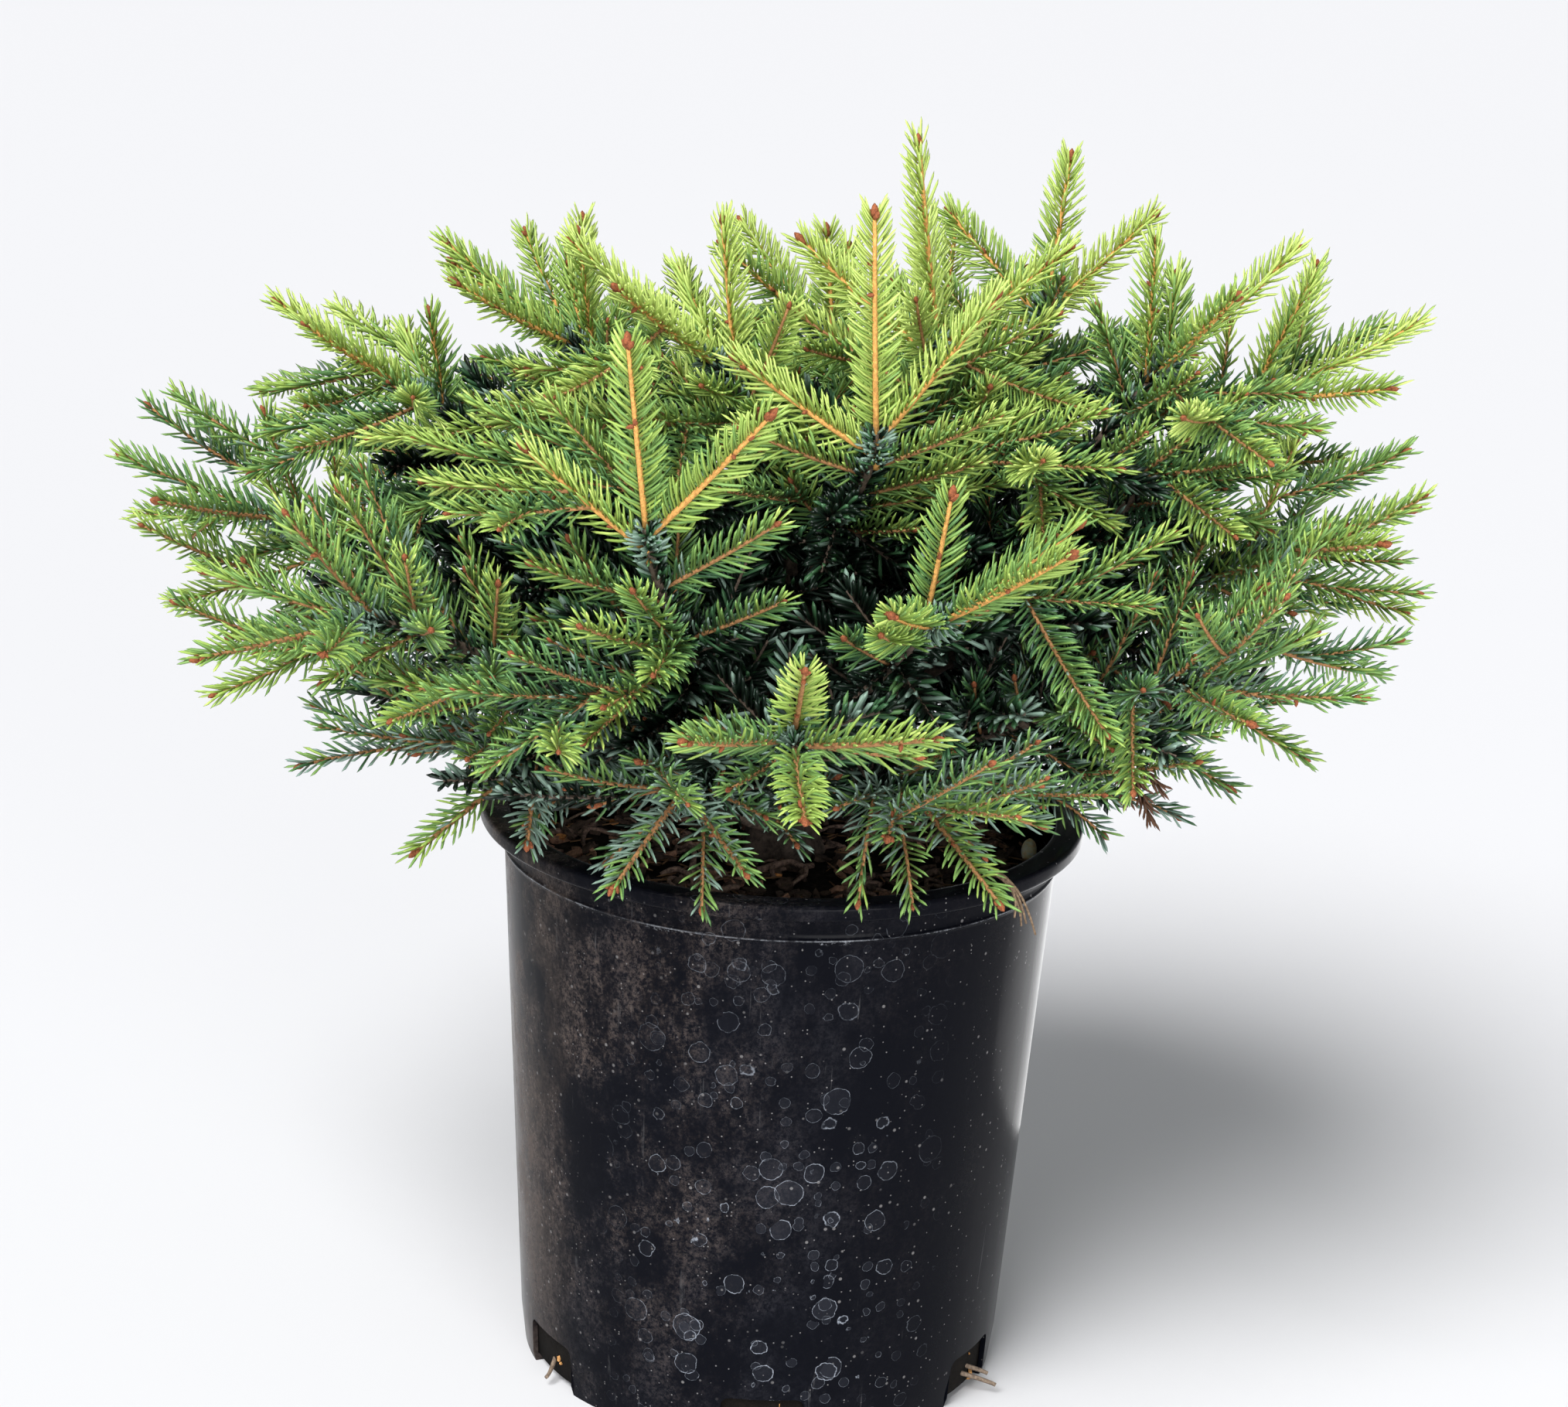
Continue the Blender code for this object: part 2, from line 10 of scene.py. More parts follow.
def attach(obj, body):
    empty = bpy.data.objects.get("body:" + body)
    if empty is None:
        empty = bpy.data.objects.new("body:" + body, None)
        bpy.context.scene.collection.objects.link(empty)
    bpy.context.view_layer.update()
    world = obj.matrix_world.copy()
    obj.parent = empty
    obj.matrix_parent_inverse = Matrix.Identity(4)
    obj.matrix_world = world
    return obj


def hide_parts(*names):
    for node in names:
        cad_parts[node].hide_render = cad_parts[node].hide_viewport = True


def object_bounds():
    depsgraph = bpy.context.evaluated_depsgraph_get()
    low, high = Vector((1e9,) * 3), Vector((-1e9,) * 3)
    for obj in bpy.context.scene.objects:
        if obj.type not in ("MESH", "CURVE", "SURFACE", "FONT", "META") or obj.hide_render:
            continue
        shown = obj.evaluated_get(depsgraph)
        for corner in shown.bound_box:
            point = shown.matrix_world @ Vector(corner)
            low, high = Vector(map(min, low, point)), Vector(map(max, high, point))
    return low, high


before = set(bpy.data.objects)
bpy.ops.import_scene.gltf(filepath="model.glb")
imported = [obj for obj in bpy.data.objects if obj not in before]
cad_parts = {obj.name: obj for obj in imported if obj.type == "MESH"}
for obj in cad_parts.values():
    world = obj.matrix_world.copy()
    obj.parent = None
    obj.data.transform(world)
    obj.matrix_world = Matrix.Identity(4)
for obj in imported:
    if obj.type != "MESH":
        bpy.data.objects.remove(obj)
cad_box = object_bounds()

# Looks of a birds nest spruce in its black nursery pot. Metres, +Z up, -Y to the front.
# A bearing is an angle round the trunk in degrees, 0 towards the front and growing towards +X.

# Pot
POT_HEIGHT = 0.223
LIP_RADIUS = 0.115
LIP_HEIGHT = 0.006
LIP_ROUND = 0.0016
NECK_RADIUS = 0.1060
FOOT_RADIUS = 0.0935
WALL = 0.002
FLOOR = 0.003
SEAM_DROP = 0.017
SEAM_PROUD = 0.0008
SEAM_HEIGHT = 0.0016
NOTCHES = 6
NOTCH_WIDTH = 0.031
NOTCH_HEIGHT = 0.0195
NOTCH_DEPTH = 0.014
NOTCH_CORNER = 0.0035
NOTCH_BEARING = 2.0

# Soil
SOIL_LEVEL = 0.205
SOIL_RELIEF = 0.0026
SOIL_EDGE = 0.099

GAP = 0.0003

# Trunk
TRUNK_TOP = 0.298
TRUNK_BASE_RADIUS = 0.0115
TRUNK_TOP_RADIUS = 0.0072
TRUNK_LEAN = (0.004, 0.003)
FLARE = 0.006
FLARE_HEIGHT = 0.012
FLARE_LOBES = 5
FLARE_LOBE_SHARE = 0.35

# Crown, as the solids have it
SEED = 27
FORK = np.array((0.0, 0.0, 0.235))
BOUGH_SHARE = 0.42
BOUGH_ROOT_RADIUS = 0.0033
BOUGH_END_RADIUS = 0.0023
BOUGH_STAGGER = 0.004
LEADER_SPOT_RADIUS = 0.0038
LEAVING_SHARE = 0.30
ARRIVING_SHARE = 0.22
STEM_RADIUS = 0.0021
STEM_TIP_RADIUS = 0.0014
DENT_BEARING = 22
DENT_WIDTH = 46
DENT_DEPTH = 0.30
CROWN_LEAN = 0.045
SHOOT_SPREAD = 52
WHORL_STEP = 0.0026
OLDER_NODES = (0.80, 0.76, 0.63, 0.58)
CORE_RADIUS = 0.0017
CORE_TIP_RADIUS = 0.0009
NEEDLE_REACH = (0.0090, 0.0120, 0.0122, 0.0098)
NEEDLE_SWEEP = 0.0065
NEEDLE_RINGS = len(NEEDLE_REACH)
BARE_LENGTH = 0.0120
CORE_TURN = 22
SHORTER = (1.0, 0.86, 0.72, 0.6, 0.5)
CELL_CLEARANCE = 0.0012
LIMB_CLEARANCE = 0.0010
LIP_CLEARANCE = 0.0015
SOIL_CLEARANCE = 0.003
TRUNK_CLEARANCE = 0.010
HANG_BELOW_LIP = 0.010

Tier = namedtuple("Tier", "name count bearing arc rise reach tip_rise height shoot older")
TIERS = (
    Tier("skirt", 7, -16, 360, 14, 0.132, -15, 0.2200, 0.052, 2),
    Tier("low", 8, -92, 360, 23, 0.208, 6, 0.2400, 0.056, 4),
    Tier("mid", 6, -21, 360, 40, 0.205, 34, 0.2600, 0.060, 4),
    Tier("high", 4, 80, 240, 55, 0.200, 42, 0.2790, 0.055, 3),
    Tier("leader", 3, 24, 360, 70, 0.168, 82, TRUNK_TOP, 0.066, 3),
)
# Bearing, rise and reach of the whorl, and the tip's bearing and rise, for limbs that stand out
STANDOUTS = {
    "skirt_7": (-56, 10, 0.113, -56, -30),
    "low_1": (-90, 25, 0.215, -92, 14),
    "low_4": (62, 21, 0.179, 68, 0),
    "low_5": (88, 29, 0.206, 90, 16),
    "mid_1": (-21, 42, 0.188, -30, 76),
    "mid_2": (27, 38, 0.150, 45, 30),
    "mid_3": (99, 40, 0.236, 108, 18),
    "mid_6": (-98, 43, 0.200, -104, 25),
    "high_1": (88, 51, 0.215, 100, 40),
    "high_2": (133, 53, 0.214, 150, 77),
    "high_3": (178, 52, 0.192, -134, 35),
    "high_4": (-104, 60, 0.183, -111, 27),
    "leader_1": (24, 66, 0.160, -40, 84),
    "leader_2": (92, 74, 0.176, -48, 77),
    "leader_3": (-70, 77, 0.165, -92, 36),
}

# Finer shoots that the solids leave out. Ranks tell which pass grew a shoot.
MAIN_RANKS = 4
FILL_RANK = 8
FINE_RANK = 10
INNER_RANK = 20
FINE_APART = 0.0110
INNER_APART = 0.0058
FILL_APART = 0.0165
INNER_CLOSER = 0.74
OUTER_DEPTHS = (1.0, 0.82)
INNER_DEPTHS = (0.90, 0.80, 0.70, 0.58, 0.46)
FILL_TARGETS = 1000
HOLLOW_BEARING = 14
HOLLOW_RISE = 40
HOLLOW_WIDTH = 24
BOX_MARGIN = 0.012
BY_HAND_SPARE = 0.010
OUTLINE_MARGIN = 0.004
NEEDLE_DROP = 0.008
TURN_STEP = 137.5
LOOK_BACK = 0.03
STEM_NODES = (0.34, 0.42, 0.48, 0.53, 0.58, 0.64, 0.69, 0.74, 0.79, 0.84, 0.88)
# The farthest reach at each rise
FILL_LIMITS = (
    (-16, 0.136), (-4, 0.148), (4, 0.166), (11, 0.202), (22, 0.258),
    (30, 0.280), (40, 0.255), (55, 0.195), (70, 0.160), (90, 0.140),
)
# The photograph's camera, and the crown's outline round the fork as it sees it
CAMERA_RISE = 16.92
CAMERA_ROLL = 2.76
CAMERA_AWAY = 1.300
CAMERA_AIM = (-0.0012, 0.0, 0.2623)
FOCAL_PIXELS = 4443.0
IMAGE_WIDTH = 2028
SENSOR = 36
OUTLINE_TURNS = np.arange(-20, 201, 10)
OUTLINE_REACH = np.array((
    108, 114, 140, 190, 236, 262, 278, 254, 226, 214, 212, 184,
    182, 190, 198, 200, 220, 252, 262, 216, 150, 122, 112,
)) / 1000
SOIL_VIEW = 0.010
MAIN_TWIG_RADIUS = 0.00125
SIDE_TWIG_RADIUS = 0.00090
TWIG_TAPER = 0.38
# Bearing, rise and reach of tips that the photograph shows at the crown's edge and over the pot
EDGE_TIPS = (
    (-95, 27, 0.276), (-102, 26, 0.262), (-106, 30, 0.250), (-90, 20, 0.260), (-85, 15, 0.236),
    (-78, 9, 0.216), (105, 37, 0.285), (95, 30, 0.258), (90, 27, 0.256), (85, 24, 0.243),
    (83, 20, 0.240), (82, 15, 0.226), (112, 42, 0.285), (-118, 36, 0.258), (72, 10, 0.200),
    (-68, 5, 0.188), (51, 32, 0.186), (48, 24, 0.179), (39, 30, 0.177), (36, 23, 0.168),
    (49, 17, 0.158), (29, 29, 0.169), (66, 22, 0.183), (78, 15, 0.192), (69, 14, 0.169),
    (81, 18, 0.211), (28, 22, 0.153), (56, 27, 0.183), (87, 32, 0.261), (82, 29, 0.261),
    (77, 19, 0.237), (80, 22, 0.247), (61, 39, 0.237), (57, 28, 0.227), (-95, 29, 0.269),
    (-83, 21, 0.257), (-77, 17, 0.238), (-67, 10, 0.183), (43, 39, 0.228), (64, 32, 0.240),
)
HANGING_TIPS = (
    (-77, -3, 0.132), (-50, 0, 0.118), (-30, -1, 0.1215), (-12, -5, 0.127), (13, -3, 0.124),
    (22, -4, 0.126), (40, 0, 0.113), (57, 6, 0.112), (76, -4, 0.124), (84, -2, 0.150),
    (3, 4, 0.104), (-20, 5, 0.106),
)

# Needles, each a slim curved spine with three sides
NEEDLE_LENGTH = 0.0118
NEEDLE_WIDTH = 0.00138
NEEDLES_PER_METRE = 2250
FULL_NEEDLE = ((0.0, 0.62), (0.42, 1.0), (0.84, 0.80))
SLIM_NEEDLE = ((0.0, 0.70), (0.76, 0.95))
GOLDEN_ANGLE = math.radians(137.508)
FAR_INNER = 0.125


# Growth, by the same rule as the solids


def unit(vector):
    return vector / np.linalg.norm(vector)


def units(vectors):
    """Many vectors at length 1, along the last axis."""
    return vectors / np.linalg.norm(vectors, axis=-1, keepdims=True).clip(1e-6)


def heading(bearing, rise):
    """The unit vector with this bearing and rise."""
    turn, lift = math.radians(bearing), math.radians(rise)
    level = math.cos(lift)
    return np.array((math.sin(turn) * level, -math.cos(turn) * level, math.sin(lift)))


def leaning(along, outward, degrees):
    """A direction that turns off another by this angle, outwards."""
    angle = math.radians(degrees)
    return along * math.cos(angle) + outward * math.sin(angle)


def wall_radius(height):
    """Outer radius of the pot's tapering wall: straight from the foot to the neck."""
    share = height / (POT_HEIGHT - LIP_HEIGHT)
    return FOOT_RADIUS + (NECK_RADIUS - FOOT_RADIUS) * share


def inner_radius(height):
    """Inner radius of the pot, straight from the floor to the top."""
    share = (height - FLOOR) / (POT_HEIGHT - FLOOR)
    foot = wall_radius(FLOOR) - WALL
    return foot + (NECK_RADIUS - WALL - foot) * share


def trunk_share(height):
    return (height - SOIL_LEVEL) / (TRUNK_TOP - SOIL_LEVEL)


def trunk_centre(height):
    share = trunk_share(height)
    return np.array((TRUNK_LEAN[0] * share, TRUNK_LEAN[1] * share, height))


def trunk_radius(height, angle):
    """Radius at this height and angle from +X: a taper, and a lobed flare that dies away upwards."""
    flare = FLARE * np.exp(-(height - SOIL_LEVEL) / FLARE_HEIGHT)
    lobes = FLARE_LOBE_SHARE * (1 - np.cos(FLARE_LOBES * angle))
    taper = (TRUNK_TOP_RADIUS - TRUNK_BASE_RADIUS) * trunk_share(height)
    return TRUNK_BASE_RADIUS + taper + flare * (1 - lobes)


def frames_along(path):
    """Tangents of a path, and two unit vectors across each that don't twist from one to the next."""
    tangents = units(np.gradient(path, axis=0))
    guide = np.array((0.0, 0.0, 1.0)) if abs(tangents[0][2]) < 0.9 else np.array((0.0, 1.0, 0.0))
    across, upward = [], []
    for tangent in tangents:
        guide = unit(guide - tangent * np.dot(guide, tangent))
        upward.append(guide)
        across.append(np.cross(tangent, guide))
    return tangents, np.array(across), np.array(upward)


def curve_at(handles, shares):
    """Points of a cubic curve with four handles."""
    t = np.atleast_1d(shares)[:, None]
    start, leave, arrive, end = handles
    return start * (1 - t) ** 3 + leave * 3 * t * (1 - t) ** 2 + arrive * 3 * t**2 * (1 - t) + end * t**3


Limb = namedtuple("Limb", "name tier handles whorl tip shoot")


def spread(bearing):
    """How far the crown reaches on this bearing, as a share: less towards the nest's open side."""
    off = (bearing - DENT_BEARING + 180) % 360 - 180
    lean = 1 - CROWN_LEAN * math.sin(math.radians(bearing))
    return lean - DENT_DEPTH * math.exp(-((off / DENT_WIDTH) ** 2))


def grow_limb(tier, number):
    """One limb: a curve that leaves the trunk level, or its top upwards, and ends in the whorl."""
    name = f"{tier.name}_{number + 1}"
    draw = random.Random(f"{SEED} {name}")
    bearing = tier.bearing + tier.arc * number / tier.count + draw.uniform(-5, 5)
    rise = tier.rise + draw.uniform(-4, 4)
    reach = tier.reach * spread(bearing) * draw.uniform(0.95, 1.05)
    tip_bearing = bearing + draw.uniform(-14, 14)
    tip_rise = tier.tip_rise + draw.uniform(-13, 13)
    if name in STANDOUTS:
        bearing, rise, reach, tip_bearing, tip_rise = STANDOUTS[name]
    whorl = FORK + reach * heading(bearing, rise)
    tip = heading(tip_bearing, tip_rise)
    if tier.name == "leader":
        spot = LEADER_SPOT_RADIUS * heading(30 + 120 * number, 0)
        root = trunk_centre(TRUNK_TOP) + spot + np.array((0, 0, GAP))
        leaving = np.array((0.0, 0.0, 1.0))
    else:
        height = tier.height + BOUGH_STAGGER * (number % 2)
        leaving = heading(bearing, 0)
        angle = math.radians(bearing - 90)
        root = trunk_centre(height) + leaving * (trunk_radius(height - BOUGH_ROOT_RADIUS, angle) + GAP)
    span = np.linalg.norm(whorl - root)
    handles = (root, root + leaving * span * LEAVING_SHARE, whorl - tip * span * ARRIVING_SHARE, whorl)
    return Limb(name, tier, handles, whorl, tip, tier.shoot)


def limb_path(limb, start, end, count):
    return curve_at(limb.handles, np.linspace(start, end, count))


LIMBS = [grow_limb(tier, number) for tier in TIERS for number in range(tier.count)]
BOUGH_LINES = [limb_path(limb, 0, BOUGH_SHARE, 14) for limb in LIMBS]
STEM_LINES = [limb_path(limb, BOUGH_SHARE, 1, 24) for limb in LIMBS]


def nearest(points, targets):
    """Distance from each point to the nearest target."""
    return np.sqrt(((points[:, None] - targets[None]) ** 2).sum(axis=2)).min(axis=1)


def clear_of_pot(points):
    """True where every point is over the soil and inside the lip, above the lip, or outside it."""
    radius, height = np.hypot(points[:, 0], points[:, 1]), points[:, 2]
    over_soil = (radius < NECK_RADIUS - WALL - SOIL_CLEARANCE) & (height > SOIL_LEVEL + SOIL_CLEARANCE)
    above = height > POT_HEIGHT + LIP_CLEARANCE
    outside = (radius > LIP_RADIUS + LIP_CLEARANCE) & (height > POT_HEIGHT - HANG_BELOW_LIP)
    return bool((over_soil | above | outside).all())


def clear_of_limbs(index, points):
    """True where every point is off the trunk, all boughs and the other masses' stems."""
    for line in BOUGH_LINES:
        if (nearest(points, line) < BOUGH_ROOT_RADIUS + LIMB_CLEARANCE).any():
            return False
    for number, line in enumerate(STEM_LINES):
        if number != index and (nearest(points, line) < STEM_RADIUS + LIMB_CLEARANCE).any():
            return False
    low = points[points[:, 2] < TRUNK_TOP + LIMB_CLEARANCE]
    return bool((np.hypot(low[:, 0], low[:, 1]) > TRUNK_BASE_RADIUS + TRUNK_CLEARANCE).all())


Shoot = namedtuple("Shoot", "root direction length curl turn")


def wanted_shoots(limb):
    """The shoots of one mass before any is shortened or skipped.

    One goes on past the whorl, two go to its sides and one rises from it. The rest leave older
    nodes on the stem, to one side and the other in turn.
    """
    draw = random.Random(f"{SEED} shoots {limb.name}")
    tip = limb.tip
    upright = abs(tip[2]) > 0.9
    side = unit(np.cross(tip, (0.0, 1.0, 0.0) if upright else (0.0, 0.0, 1.0)))
    lift = np.cross(side, tip)
    leads = [(limb.whorl - tip * WHORL_STEP, tip, 1.0)]
    for sign in (-1, 1):
        angle = SHOOT_SPREAD + draw.uniform(-9, 7)
        outward = sign * side + lift * draw.uniform(-0.1, 0.35)
        root = limb.whorl - tip * WHORL_STEP * (2.5 + sign)
        leads.append((root, leaning(tip, unit(outward), angle), 0.95))
    leads.append((limb.whorl - tip * WHORL_STEP * 5, leaning(tip, lift, draw.uniform(42, 58)), 0.8))
    sign = draw.choice((-1, 1))
    for share in OLDER_NODES[: limb.tier.older]:
        node, before = curve_at(limb.handles, (share, share - 0.02))
        angle = SHOOT_SPREAD + draw.uniform(0, 12)
        outward = sign * side + lift * draw.uniform(-0.3, 0.2)
        leads.append((node, leaning(unit(node - before), unit(outward), angle), 0.85))
        sign = -sign
    curl = -0.10 if limb.tier.name == "skirt" else 0.10
    shoots = []
    for root, direction, share in leads:
        length = limb.shoot * share * draw.uniform(0.9, 1.12)
        bend = curl * draw.uniform(0.2, 1.2)
        shoots.append(Shoot(root, unit(direction), length, bend, draw.uniform(0, 120)))
    return shoots


def shoot_axis(shoot, shares):
    """Points along a shoot, which bends up or down by its curl as it goes out."""
    t = np.atleast_1d(shares)[:, None]
    bend = np.array((0.0, 0.0, shoot.length * shoot.curl))
    return shoot.root + shoot.direction * shoot.length * t + bend * t**2


def probe_points(shoot):
    """Where a shoot is tested: its axis, its solid's needle ends, and points between the two."""
    bare = BARE_LENGTH / shoot.length
    shares = np.concatenate(([0.0], np.linspace(bare, 1.0, NEEDLE_RINGS + 1)))
    path = shoot_axis(shoot, shares)
    tangents, across, upward = frames_along(path)
    radii = CORE_RADIUS + (CORE_TIP_RADIUS - CORE_RADIUS) * shares
    turns = 120 * np.arange(3)[None] + CORE_TURN * np.arange(len(shares))[:, None] + shoot.turn
    angles = np.radians(turns)[..., None]
    out = across[:, None] * np.cos(angles) + upward[:, None] * np.sin(angles)
    skin = path[:, None] + out * radii[:, None, None]
    ends = []
    for ring in range(1, len(shares) - 1):
        lower, upper = skin[ring], skin[ring + 1]
        middle = (path[ring] + path[ring + 1]) / 2
        for side in range(3):
            following = (side + 1) % 3
            centre = np.mean((lower[side], lower[following], upper[following], upper[side]), axis=0)
            sweep = NEEDLE_SWEEP * (0.7 + 0.3 * side)
            ends.append(centre + unit(centre - middle) * NEEDLE_REACH[ring - 1] + tangents[ring] * sweep)
    ends.append(path[-1] + tangents[-1] * 0.004)
    ends = np.array(ends)
    axis = shoot_axis(shoot, np.linspace(0.15, 1, 12))
    feet = axis[np.argmin(((ends[:, None] - axis[None]) ** 2).sum(axis=2), axis=1)]
    return np.vstack((axis, ends, feet * 0.5 + ends * 0.5, feet * 0.2 + ends * 0.8))


Grown = namedtuple("Grown", "limb axis shoot rank probes own", defaults=(None, None))
AXIS_SHARES = np.linspace(0, 1, 14)


def keeps_apart(trial, grown):
    """True where two sprays of different masses each stay nearer to their own axis."""
    return bool(
        (nearest(trial.probes, grown.axis) > trial.own + CELL_CLEARANCE).all()
        and (nearest(grown.probes, trial.axis) > grown.own + CELL_CLEARANCE).all()
    )


def grow_all():
    """Every shoot of the solids: each as long as it can be inside its mass's own space."""
    wanted = [wanted_shoots(limb) for limb in LIMBS]
    grown = []
    for rank in range(max(len(shoots) for shoots in wanted)):
        for index, shoots in enumerate(wanted):
            if rank >= len(shoots):
                continue
            for share in SHORTER:
                shoot = shoots[rank]._replace(length=shoots[rank].length * share)
                probes = probe_points(shoot)
                axis = shoot_axis(shoot, AXIS_SHARES)
                trial = Grown(index, axis, shoot, rank, probes, nearest(probes, axis))
                if not clear_of_limbs(index, probes) or not clear_of_pot(probes):
                    continue
                if all(keeps_apart(trial, other) for other in grown if other.limb != index):
                    grown.append(trial)
                    break
    return grown


# Finer shoots


def crown_edge(directions, tips):
    """How far the crown reaches from the fork in each direction, and how surely that is known.

    The far tips count most: each tip weighs by its nearness in angle and its distance.
    """
    away = tips - FORK
    far = np.linalg.norm(away, axis=1)
    angles = np.arccos(np.clip(directions @ (away / far[:, None]).T, -1, 1))
    weights = np.exp(-((angles / math.radians(13)) ** 2)) * (far / 0.2) ** 4
    total = weights.sum(axis=1)
    return (weights * far).sum(axis=1) / total.clip(1e-9), total


def inside_outline(points, spare):
    """True when all points look to be inside the crown's outline from the photograph's side.

    A point is seen at its place across and up the picture, larger the nearer it is. Its angle and
    distance from the fork in the picture are compared with the outline's.
    """
    lift = math.radians(CAMERA_RISE)
    places = np.vstack((FORK, points)) - CAMERA_AIM
    nearer = CAMERA_AWAY - (places[:, 2] * math.sin(lift) - places[:, 1] * math.cos(lift))
    across = places[:, 0] * CAMERA_AWAY / nearer
    upward = (places[:, 2] * math.cos(lift) + places[:, 1] * math.sin(lift)) * CAMERA_AWAY / nearer
    across, upward = across[1:] - across[0], upward[1:] - upward[0]
    turns = (np.degrees(np.arctan2(upward, across)) + 90) % 360 - 90
    limits = np.interp(turns, OUTLINE_TURNS, OUTLINE_REACH)
    return bool((np.hypot(across, upward) < limits + spare).all())


def hides_soil(points):
    """True when any point looks to be in front of the soil from the photograph's side."""
    lift = math.radians(CAMERA_RISE)
    away = points - FORK
    below = away[:, 2] * math.cos(lift) + away[:, 1] * math.sin(lift) < -SOIL_VIEW
    return bool((below & (np.abs(points[:, 0]) < LIP_RADIUS + 0.010)).any())


def off_hollow(points, share):
    """True when no point lies in this share of the cone that the nest leaves open to the front."""
    away = points - FORK
    far = np.linalg.norm(away, axis=1)
    facing = (away @ heading(HOLLOW_BEARING, HOLLOW_RISE)) / far
    return not ((facing > math.cos(math.radians(HOLLOW_WIDTH * share))) & (far > 0.07)).any()


def needles_clear_pot(points, drop):
    """True when a twig here and needles that hang this far below it are clear of the pot."""
    return clear_of_pot(np.vstack((points - (0, 0, drop), points)))


def has_room(outer, hollow=1.0, by_hand=False, hanging=False):
    """True when the outer part of a shoot keeps to the solids' box and off the pot and the hollow.

    One that isn't one of the listed tips also keeps inside the outline and leaves the soil in view.
    """
    lowest, highest = np.array(cad_box[0]) + BOX_MARGIN, np.array(cad_box[1]) - BOX_MARGIN
    spare = BY_HAND_SPARE if by_hand else 0.0
    if (outer < lowest - spare).any() or (outer > highest + spare).any() or not off_hollow(outer, hollow):
        return False
    if not needles_clear_pot(outer, 0.0 if hanging else NEEDLE_DROP):
        return False
    return by_hand or inside_outline(outer, -OUTLINE_MARGIN) and not hides_soil(outer)


def sphere_spiral(count):
    """Unit vectors even over a sphere, the golden angle apart from top to bottom."""
    number = np.arange(count) + 0.5
    rise = 1 - 2 * number / count
    level = np.sqrt(1 - rise**2)
    turn = GOLDEN_ANGLE * number
    return np.column_stack((level * np.cos(turn), level * np.sin(turn), rise))


def nodes_along(line, owner):
    """Places along a line that a shoot can leave from, the direction at each, and its mass."""
    return line[:-1], units(np.diff(line, axis=0)), np.full(len(line) - 1, owner)


def all_nodes(parts):
    return [np.concatenate(values) for values in zip(*parts)]


def likely_nodes(target, direction, level, places, along):
    """Up to six places from which a shoot can reach its target most naturally, and its length.

    Not too near, not too far, going outwards, and neither along that twig nor back against it.
    """
    away = target - places
    length = np.linalg.norm(away, axis=1)
    heads = away / length[:, None]
    fork_angle = np.degrees(np.arccos(np.clip((heads * along).sum(axis=1), -1, 1)))
    leading = unit(direction * (1, 1, 0.5))
    cost = np.abs(length - 0.050) * 30 + np.abs(fork_angle - 48) / 40 - level * (heads @ leading)
    cost[(length < 0.032) | (length > 0.068) | (fork_angle > 80) | (heads @ direction < 0.2)] = 99
    return [(best, length[best]) for best in np.argsort(cost)[:6] if cost[best] <= 50]


def grow_fill(shoots, depth, apart, rank):
    """Shoots that reach for the bare places of the crown's edge, or a share of the way to it.

    The first pass reaches for the tips that the photograph shows before all others.
    """
    draw = random.Random(f"{SEED} fill {depth}")
    directions = sphere_spiral(FILL_TARGETS)
    rises = np.degrees(np.arcsin(directions[:, 2]))
    reach, known = crown_edge(directions, np.array([item.axis[-1] for item in shoots]))
    reach = np.minimum(reach, np.interp(rises, *np.transpose(FILL_LIMITS)))
    fill = []
    axes = np.vstack([item.axis for item in shoots])
    stems = [nodes_along(limb_path(limb, 0.40, 0.98, 20), index) for index, limb in enumerate(LIMBS)]
    places, along, owners = all_nodes(stems + [nodes_along(item.axis[1:11], item.limb) for item in shoots])
    tips = EDGE_TIPS + HANGING_TIPS if depth == 1 else ()
    order = np.argsort((np.arange(FILL_TARGETS) * 0.618034) % 1)
    for tip, number in [(tip, None) for tip in tips] + [(None, number) for number in order]:
        by_hand, hanging = tip is not None, tip in HANGING_TIPS
        if by_hand:
            bearing, rise, far = tip
            direction = heading(bearing, rise)
            target = FORK + direction * far
        else:
            rise, direction = rises[number], directions[number]
            target = FORK + direction * reach[number] * depth * draw.uniform(0.92, 1.0)
            wanted = apart * (1.7 if rise < 3 else 1.2 if rise < 9 else 1.0)
            if known[number] < 0.30 or rise < -9 or nearest(target[None], axes)[0] < wanted:
                continue
        level = 4.0 if by_hand and not hanging else 1.6
        closest = 0.012 * (0.6 if by_hand else 1)
        for best, length in likely_nodes(target, direction, level, places, along):
            curl = -0.42 if hanging else draw.uniform(-0.30, -0.12) if rise < 7 else draw.uniform(0.0, 0.16)
            aim = target - np.array((0, 0, length * curl)) - places[best]
            size = np.linalg.norm(aim)
            shoot = Shoot(places[best], aim / size, size, curl * length / size, draw.uniform(0, 360))
            axis = shoot_axis(shoot, AXIS_SHARES)
            if not has_room(axis[5:], 1.0, by_hand, hanging):
                continue
            if nearest(axis[7:], axes).min() < closest or nearest(axis[4:7], axes).min() < 0.007:
                continue
            fill.append(Grown(owners[best], axis, shoot, rank))
            axes = np.vstack((axes, axis))
            fresh = nodes_along(axis[1:11], owners[best])
            places, along, owners = all_nodes(((places, along, owners), fresh))
            break
    return fill


def across_twig(along):
    """Two unit vectors across a twig: one level, one upwards."""
    side = unit(np.cross(along, (0.0, 0.0, 1.0)) + np.array((0, 0, 1e-6)))
    return side, np.cross(side, along)


